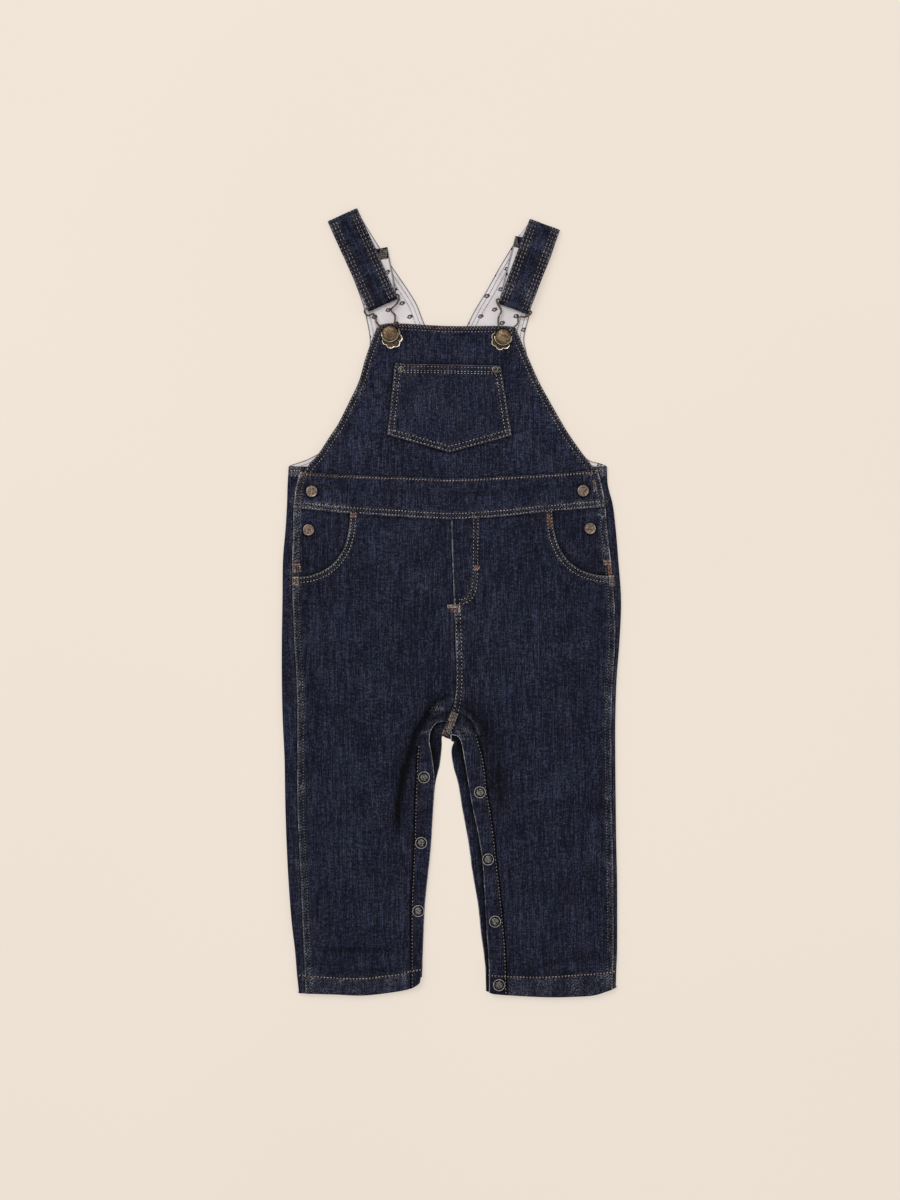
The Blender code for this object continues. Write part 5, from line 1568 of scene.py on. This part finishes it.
# the side button's outer flange, past 4.6, is blackened: a painted shadow ring on the cloth round it
DISC = ((0, 1.55), (1.5, 1.58), (3.0, 1.60), (3.5, 1.56), (3.8, 1.72), (4.1, 1.84), (4.4, 1.74), (4.57, 1.3),
        (4.6, 1.0), (4.75, 0.86), (5.2, 0.78), (5.42, 0.5), (5.4, 0), (0, 0))
RING = ((0, 0.86), (1.0, 0.88), (2.0, 0.87), (2.7, 0.82), (3.05, 0.6), (3.2, 0.36), (3.95, 0.36), (4.08, 0.8),
        (4.2, 1.22), (4.38, 1.36), (4.56, 1.24), (4.7, 0.8), (4.8, 0.4), (4.7, 0.1), (4.5, 0), (0, 0))
RIVET = ((0, 0.75), (0.3, 0.75), (0.75, 0.72), (1.1, 0.6), (1.5, 0.52), (1.6, 0.8), (1.9, 1.0), (2.25, 0.95),
         (2.5, 0.6), (2.6, 0.2), (2.5, 0), (0, 0))
PLATE_RIM = ((0.86, 0.75), (0.93, 0.95), (0.985, 1.0), (1.0, 0.7), (1.0, 0.0))  # shares of radius and height
PLATE_RADIUS = 7.0
PETALS = 7
PETAL_DEPTH = 1.5
SEATED = 1.2  # the most that a fitting is lifted
WHOLE = 9.0  # a radius past that of any fitting


def seat(node, reach, under):
    """How far a fitting is lifted to stand on the cloth round it, in millimetres."""
    low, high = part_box(node)
    x, y = (low.x + high.x) / 2 / MM, (low.y + high.y) / 2 / MM
    heights = [under.height(x + reach * math.cos(a), y + reach * math.sin(a))
               for a in np.radians(range(0, 360, 45))]
    found = sorted(height for height in heights if height is not None)
    return min(max(found[len(found) // 2] - low.z / MM - 0.05, 0.0), SEATED) if found else 0.0


def turned(node, profile, materials, steps=48, on=None, lower=None):
    """A round fitting on the middle of a CAD node: its profile is radius and height, down the outside.

    The materials go with the radius, in millimetres, that each reaches out to. lower, where given, is the
    radius past which the last material, a painted highlight, covers the lower half alone."""
    low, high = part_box(node)
    centre = (low + high) / 2
    lift = seat(node, max(x for x, _ in profile), on) if on else 0.0
    mesh = bpy.data.meshes.new(node)
    mesh.from_pydata([(x * MM, 0, z * MM) for x, z in profile],
                     [(i, i + 1) for i in range(len(profile) - 1)], [])
    for material, _ in materials:
        mesh.materials.append(material)
    piece = linked(f"brass_{node.replace('pocket_', '')}", mesh)
    modified(piece, "SCREW", steps=steps, render_steps=steps, use_merge_vertices=True,
             merge_threshold=0.01 * MM)
    piece = plain_mesh(piece)
    for face in piece.data.polygons:
        radius = face.center.xy.length
        face.material_index = sum(radius > reach * MM for _, reach in materials[:-1])
        # painted highlight: the last material on the lower half of the rim
        if lower and radius > lower * MM and face.center.y < 0.4 * MM:
            face.material_index = len(materials) - 1
    for vertex in piece.data.vertices:
        vertex.co += Vector((centre.x, centre.y, low.z + lift * MM))
    declared(shaded(piece, 40), "antique_brass", node)


def wire(node, material, thicker=0.12):
    """A buckle's wire: a smooth copy of the CAD node, a little thicker."""
    piece = linked(f"brass_{node}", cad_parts[node].data.copy())
    piece.data.materials.clear()
    piece.data.materials.append(material)
    modified(piece, "WELD", merge_threshold=0.01 * MM)
    modified(piece, "SUBSURF", levels=1, render_levels=1)
    piece = plain_mesh(piece)
    for vertex, out in zip(piece.data.vertices, [vertex.normal.copy() for vertex in piece.data.vertices]):
        vertex.co += out * thicker * MM
    declared(shaded(piece), "antique_brass", node)


def plate(node, *materials):
    """The flower-edged plate behind a bib button, with a raised rim."""
    low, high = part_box(node)
    centre, thick = (low + high) / 2, (high.z - low.z) / MM
    turn = np.linspace(0, 2 * math.pi, 24 * PETALS, endpoint=False)
    outer = PLATE_RADIUS + PETAL_DEPTH * np.abs(np.cos(PETALS / 2 * turn)) ** 0.8
    x, y, bottom = centre.x / MM, centre.y / MM, low.z / MM
    points = [(x + s * r * math.cos(a), y + s * r * math.sin(a), bottom + thick * z)
              for s, z in PLATE_RIM for r, a in zip(outer, turn)]
    rings, count = len(PLATE_RIM), len(turn)
    faces = [(first + i, first + count + i, first + count + (i + 1) % count, first + (i + 1) % count)
             for first in range(0, (rings - 1) * count, count) for i in range(count)]
    faces += [tuple(range(count)), tuple(range((rings - 1) * count, rings * count))[::-1]]
    mesh = bpy.data.meshes.new(node)
    mesh.from_pydata([(x * MM, y * MM, z * MM) for x, y, z in points], [], faces)
    for material in materials:
        mesh.materials.append(material)
    bright = [int(count <= index < 2 * count) for index in range(len(faces))]
    mesh.polygons.foreach_set("material_index", bright)
    declared(shaded(linked(f"brass_{node.replace('buckle_', '')}", mesh), 40), "antique_brass", node)


def fittings():
    """Bib buttons and plates, buckle wires, side buttons, snaps and rivets."""
    metals = {name: brass(name, *finish) for name, *finish in (
        ("antique brass", (0.215, 0.150, 0.090), (0.070, 0.047, 0.030), 0.46, 1.6),
        ("rubbed brass and painted highlight", (0.86, 0.76, 0.62), (0.48, 0.40, 0.31), 0.36, 2.2),
        ("plate brass", (0.105, 0.078, 0.050), (0.036, 0.027, 0.019), 0.5, 1.4),
        ("worn brass", (0.245, 0.178, 0.130), (0.055, 0.042, 0.037), 0.5, 1.4),
        ("greyed brass", (0.34, 0.29, 0.26), (0.14, 0.115, 0.105), 0.45, 2.4),
        ("dulled brass", (0.25, 0.21, 0.18), (0.050, 0.040, 0.036), 0.46, 0.9),
        ("snap ring", (0.58, 0.56, 0.54), (0.26, 0.245, 0.235), 0.4, 1.4, 0.25),
        ("gunmetal", (0.230, 0.215, 0.215), (0.008, 0.007, 0.009), 0.55, 1.0),
        ("blackened brass and painted shadow", (0.014, 0.012, 0.013), (0.005, 0.004, 0.005), 0.6, 2.2),
        ("buckle wire", (0.150, 0.120, 0.092), (0.036, 0.029, 0.025), 0.38, 2.2),
    )}
    old, bright, flower, centre, rim, middle, silver, gunmetal, dark, wire_metal = metals.values()
    waist, patch = Surface("front_waistband"), Surface("bib_pocket")
    for side, snaps in (("l", 3), ("r", 4)):
        inset, placket = Surface(f"pocket_inset_{side}"), Surface(f"front_placket_{side}")
        # bib buttons: blackened past the head, a painted shade on the rim's upper half and under the head,
        # and past lower a painted highlight on the rim's lower half
        turned(f"bib_button_{side}", BUTTON, [(old, 6.25), (dark, WHOLE), (bright, WHOLE)], 72, lower=6.36)
        eye = 0.35 if side == "l" else 0.8
        rings = [(dark, eye), (middle, 1.15), (dark, 1.55), (rim, WHOLE)]
        turned(f"pocket_rivet_{side}", RIVET, rings, 32, patch)
        for where, under in (("upper", waist), ("lower", inset)):
            # side buttons: the blackened flange past 4.56 is a painted shadow ring on the cloth
            turned(f"side_button_{where}_{side}", DISC, [(centre, 3.6), (rim, 4.56), (dark, WHOLE)], on=under)
        # snaps: blackened in the recess inside the ring and on its outer side
        rings = [(gunmetal, 3.1), (dark, 4.12), (silver, 4.66), (dark, WHOLE)]
        for number in range(1, snaps + 1):
            turned(f"snap_{side}{number}", RING, rings, on=placket)
        wire(f"buckle_wire_{side}", wire_metal)
        plate(f"buckle_plate_{side}", flower, bright)


# ------------------------------------------------------------------------------------------ stage


def stage():
    """A plain pale floor, soft studio light and the camera straight above. Lengths are metres here."""
    scene = bpy.context.scene
    bpy.ops.mesh.primitive_plane_add(size=12, location=(0, 0, -0.0004))
    floor = bpy.context.object
    floor.name = "floor"
    recipe = Recipe("pale floor")
    tone = recipe.spread(recipe.grain(size=400.0), 0.3, 0.7)
    colour = recipe.mixed(tone, (0.872, 0.775, 0.680, 1), (0.885, 0.788, 0.694, 1))
    glow = 0.6  # the share of its light that a bright studio table gives of itself, so that shadows are faint
    floor.data.materials.append(recipe.finish(recipe.dimmed(colour, 1 - glow), 1.0, Specular_IOR_Level=0.0,
                                              Emission_Color=colour, Emission_Strength=glow))
    for name, place, size, power in (("key", (-0.9, 1.3, 2.6), 1.9, 44), ("fill", (1.6, -0.6, 2.2), 2.4, 10),
                                     ("top", (0, 0, 3.2), 2.6, 10)):
        lamp = bpy.data.lights.new(name, "AREA")
        lamp.size, lamp.energy = size, power
        light = linked(name, lamp)
        light.location = place
        light.rotation_euler = (-Vector(place)).to_track_quat("-Z", "Y").to_euler()
    scene.world = bpy.data.worlds.new("studio")
    scene.world.use_nodes = True
    sky = scene.world.node_tree.nodes["Background"].inputs
    sky["Color"].default_value, sky["Strength"].default_value = (1.0, 0.985, 0.965, 1), 0.44
    scene.view_settings.view_transform = "Standard"
    camera = bpy.data.cameras.new("camera")
    camera.sensor_width = 36
    distance, view_height = 3.0, 0.960
    camera.lens = camera.sensor_width * distance / view_height
    scene.camera = linked("camera", camera)
    scene.camera.location = (-0.0008, 0.00184, distance)


# ------------------------------------------------------------------------------------------ the garment

stage()
for side in "lr":
    for piece_of in (back_leg, back_placket, hem_turnings, pocket_inset, front_placket, front_leg):
        piece_of(side)
back_waistband()
upper_back("back_bib", STRAP_START, 0.0, DENIM, 0.95 * DENIM, DENIM_PLAIN, "indigo_denim")
upper_back("back_lining", LINING_REACH, LINING_INSET, ON_BACK + LINING, LINING, printed("printed lining"),
           "printed_lining")
band_bottom, band_top, band_left, band_right = waistband()
bib_left, bib_top_edge, bib_right = front_bib()
pocket_top_edge, pocket_sides = bib_pocket()
fly_curve = fly_flap()
for side in "lr":
    strap(side)
fittings()

bib, pocket, band = Surface("front_bib"), Surface("bib_pocket"), Surface("front_waistband")
crotch = Surface("front_leg_r", "fly_flap", "front_placket_l", "front_placket_r")
rungs = {"spool": "dim", "step": 1.9, "length": 0.5, "width": 1.6, "hole": (0.5, 1.8)}
low_hole = (0.4, 0.6)
sew("stitches_bib", [*twin(bib, bib_left, TWIN_ROWS, 1), *twin(bib, bib_right, TWIN_ROWS, 1),
                     *twin(bib, bib_top_edge, TWIN_ROWS[1:], 1)], "tan", 2.64, width=0.48)
sew("stitches_bib_top", twin(bib, bib_top_edge, (1.2, 2.4), 1), "brown", 2.4, width=0.75)
sew("stitches_pocket", twin(pocket, pocket_sides, TWIN_ROWS, -1), "cream", 2.95, width=0.42)
sew("stitches_pocket_ladder", twin(pocket, pocket_sides, BETWEEN, -1), **rungs)
sew("stitches_bib_ladder", [*twin(bib, bib_left, BETWEEN, 1), *twin(bib, bib_right, BETWEEN, 1)], **rungs)
sew("stitches_pocket_top", twin(pocket, pocket_top_edge, POCKET_ROWS[:1], 1), "brown", 2.6, width=0.75)
sew("stitches_pocket_pair", twin(pocket, pocket_top_edge, POCKET_ROWS[1:], 1), "cream", 2.6, width=0.4)
sew("stitches_waistband", twin(band, band_bottom, TWIN_ROWS, -1), "cream", 2.55, width=0.45)
sew("stitches_waist_seam", twin(band, band_top[18:], (1.6,), 1), "cream", 2.47, 1.6, 0.5)
sew("stitches_corner", twin(band, band_top[:19], (1.6,), 1), "orange", 2.47, 1.6, 0.65)
sew("stitches_seam_foot", twin(band, band_top, (2.45,), 1), "brown", 2.47, 1.4, 0.4, hole=low_hole)
sew("stitches_band_ladder", [*twin(band, band_bottom, BETWEEN, -1), *twin(band, band_left, BETWEEN, -1),
                             *twin(band, band_right, BETWEEN, 1)], **rungs)
sew("stitches_band_left", twin(band, band_left, TWIN_ROWS, -1), "orange", 2.3)
sew("stitches_band_right", twin(band, band_right, TWIN_ROWS, 1), "faded", 2.3)
for side, out in SIGN.items():
    names = f"front_leg_{side}", f"pocket_inset_{side}", f"front_placket_{side}", f"back_leg_{side}"
    leg, placket = Surface(*names[:2]), Surface(names[2])
    scuffed, whole = Surface(names[0], names[2]), Surface(names[0], names[2], names[3])
    seam, opening = side_line(side, np.linspace(74, HEM_BOTTOM_Y + 1, 120)), opening_rail(side, 1.0, 60)
    hem_x = np.linspace(*((-123, -23) if side == "l" else (29, 132)), 90)
    hem = np.column_stack((hem_x, level(HEM_ROW, hem_x)))
    sew(f"stitches_opening_{side}", twin(leg, opening, TWIN_ROWS, out), "cream", 2.6, width=0.45)
    sew(f"stitches_opening_ladder_{side}", twin(leg, opening, BETWEEN, out), **rungs)
    sew(f"stitches_scuffs_{side}", straight(scuffed, *SCUFFS[side]), "scuffed", 1.9, 1.1, 0.8,
        hole=(0.5, 1.1))
    sew(f"stitches_hem_{side}", [(whole, hem)], "tan", 2.55, 1.8)
    sew(f"stitches_hem_foot_{side}", [(whole, hem - (0, 0.75))], "brown", 2.55, 1.4, 0.35, hole=low_hole)
    sew(f"stitches_side_{side}", twin(leg, seam, TWIN_ROWS, out), "faded", 2.3, 1.15, hole=(0.5, 1.05))
    sew(f"stitches_placket_{side}", twin(placket, placket_seam(side, 6), PLACKET_ROWS, out), "strap", 2.8,
        1.5, 0.48)
seam = np.vstack((smooth(CENTRE_SEAM[5:-2], 6)[:-1], smooth(CROTCH_SEAM, 6)))
sew("stitches_centre", twin(crotch, seam, TWIN_ROWS, -1), "cream", 3.05, 1.6, 0.4)
sew("stitches_fly", twin(crotch, fly_curve, TWIN_ROWS, 1), "tan", 2.8, 1.8, 0.45, hole=(0.3, 0.8))
for side in STRAPS:
    cloth = Surface(f"strap_{side}")
    fold, along, across, length = strap_frame(side)
    for name, spool, start, rows, sizes in (
        ("strap", "strap", 1.0, STRAP_ROWS, (3.3, 2.75, 0.4, 0.0, 0.08, (0.13, 0.6))),
        ("ladder", "lining", 2.3, (2.45, 4.95), (1.9, 0.6, 1.3, 0.0, 0.08, (0.42, 1.4))),
    ):
        ends = fold + start * along, fold + (length - 1.2) * along
        lines = [(cloth, np.array([end + s * across for end in ends]))
                 for row in rows for s in (row - STRAP_WIDTH / 2, STRAP_WIDTH / 2 - row)]
        sew(f"stitches_{name}_{side}", lines, spool, *sizes)
lip = Surface("back_waistband")
for side, start, end in (("l", -127.4, -118.6), ("r", 116.2, 122.8)):
    for spool, heights in (("rust", (107.2, 103.2)), ("cream", (105.2, 101.0))):
        rows = straight(lip, *((start, y, end, y) for y in heights))
        sew(f"stitches_lip_{spool}_{side}", rows, spool, 1.9, 1.3, 0.7)
for name, tacks in TACKS.items():
    sew_tacks(name, tacks)

# On the back: its centre seam, its waist and its hems.
behind = Surface("back_leg_l", "back_leg_r", "back_waistband", below=True)
lines = straight(behind, *((row, 70.0, row, -86.0) for row in TWIN_ROWS),
                 *((-121.0, y, 121.0, y) for y in (WAIST_JOIN_Y - 1.6, WAIST_JOIN_Y - 5.0, 102.0)))
lines += [(behind, HEM_STITCHES[HEM_STITCHES[:, 0] < -23]), (behind, HEM_STITCHES[HEM_STITCHES[:, 0] > 40])]
sew("stitches_back", lines, "cream", 3.05, width=0.5, sunk=0.2, hole=None)
lining = Surface("back_lining")
rows = [row for side, edges in SHOULDERS.items() for edge, way in (("armhole", -1), ("neckline", 1))
        for row in twin(lining, smooth(edges[edge], 6), LINING_ROWS, way * SIGN[side])]
sew("stitches_lining", rows, "lining", 1.7, 1.75, 0.55, hole=None)
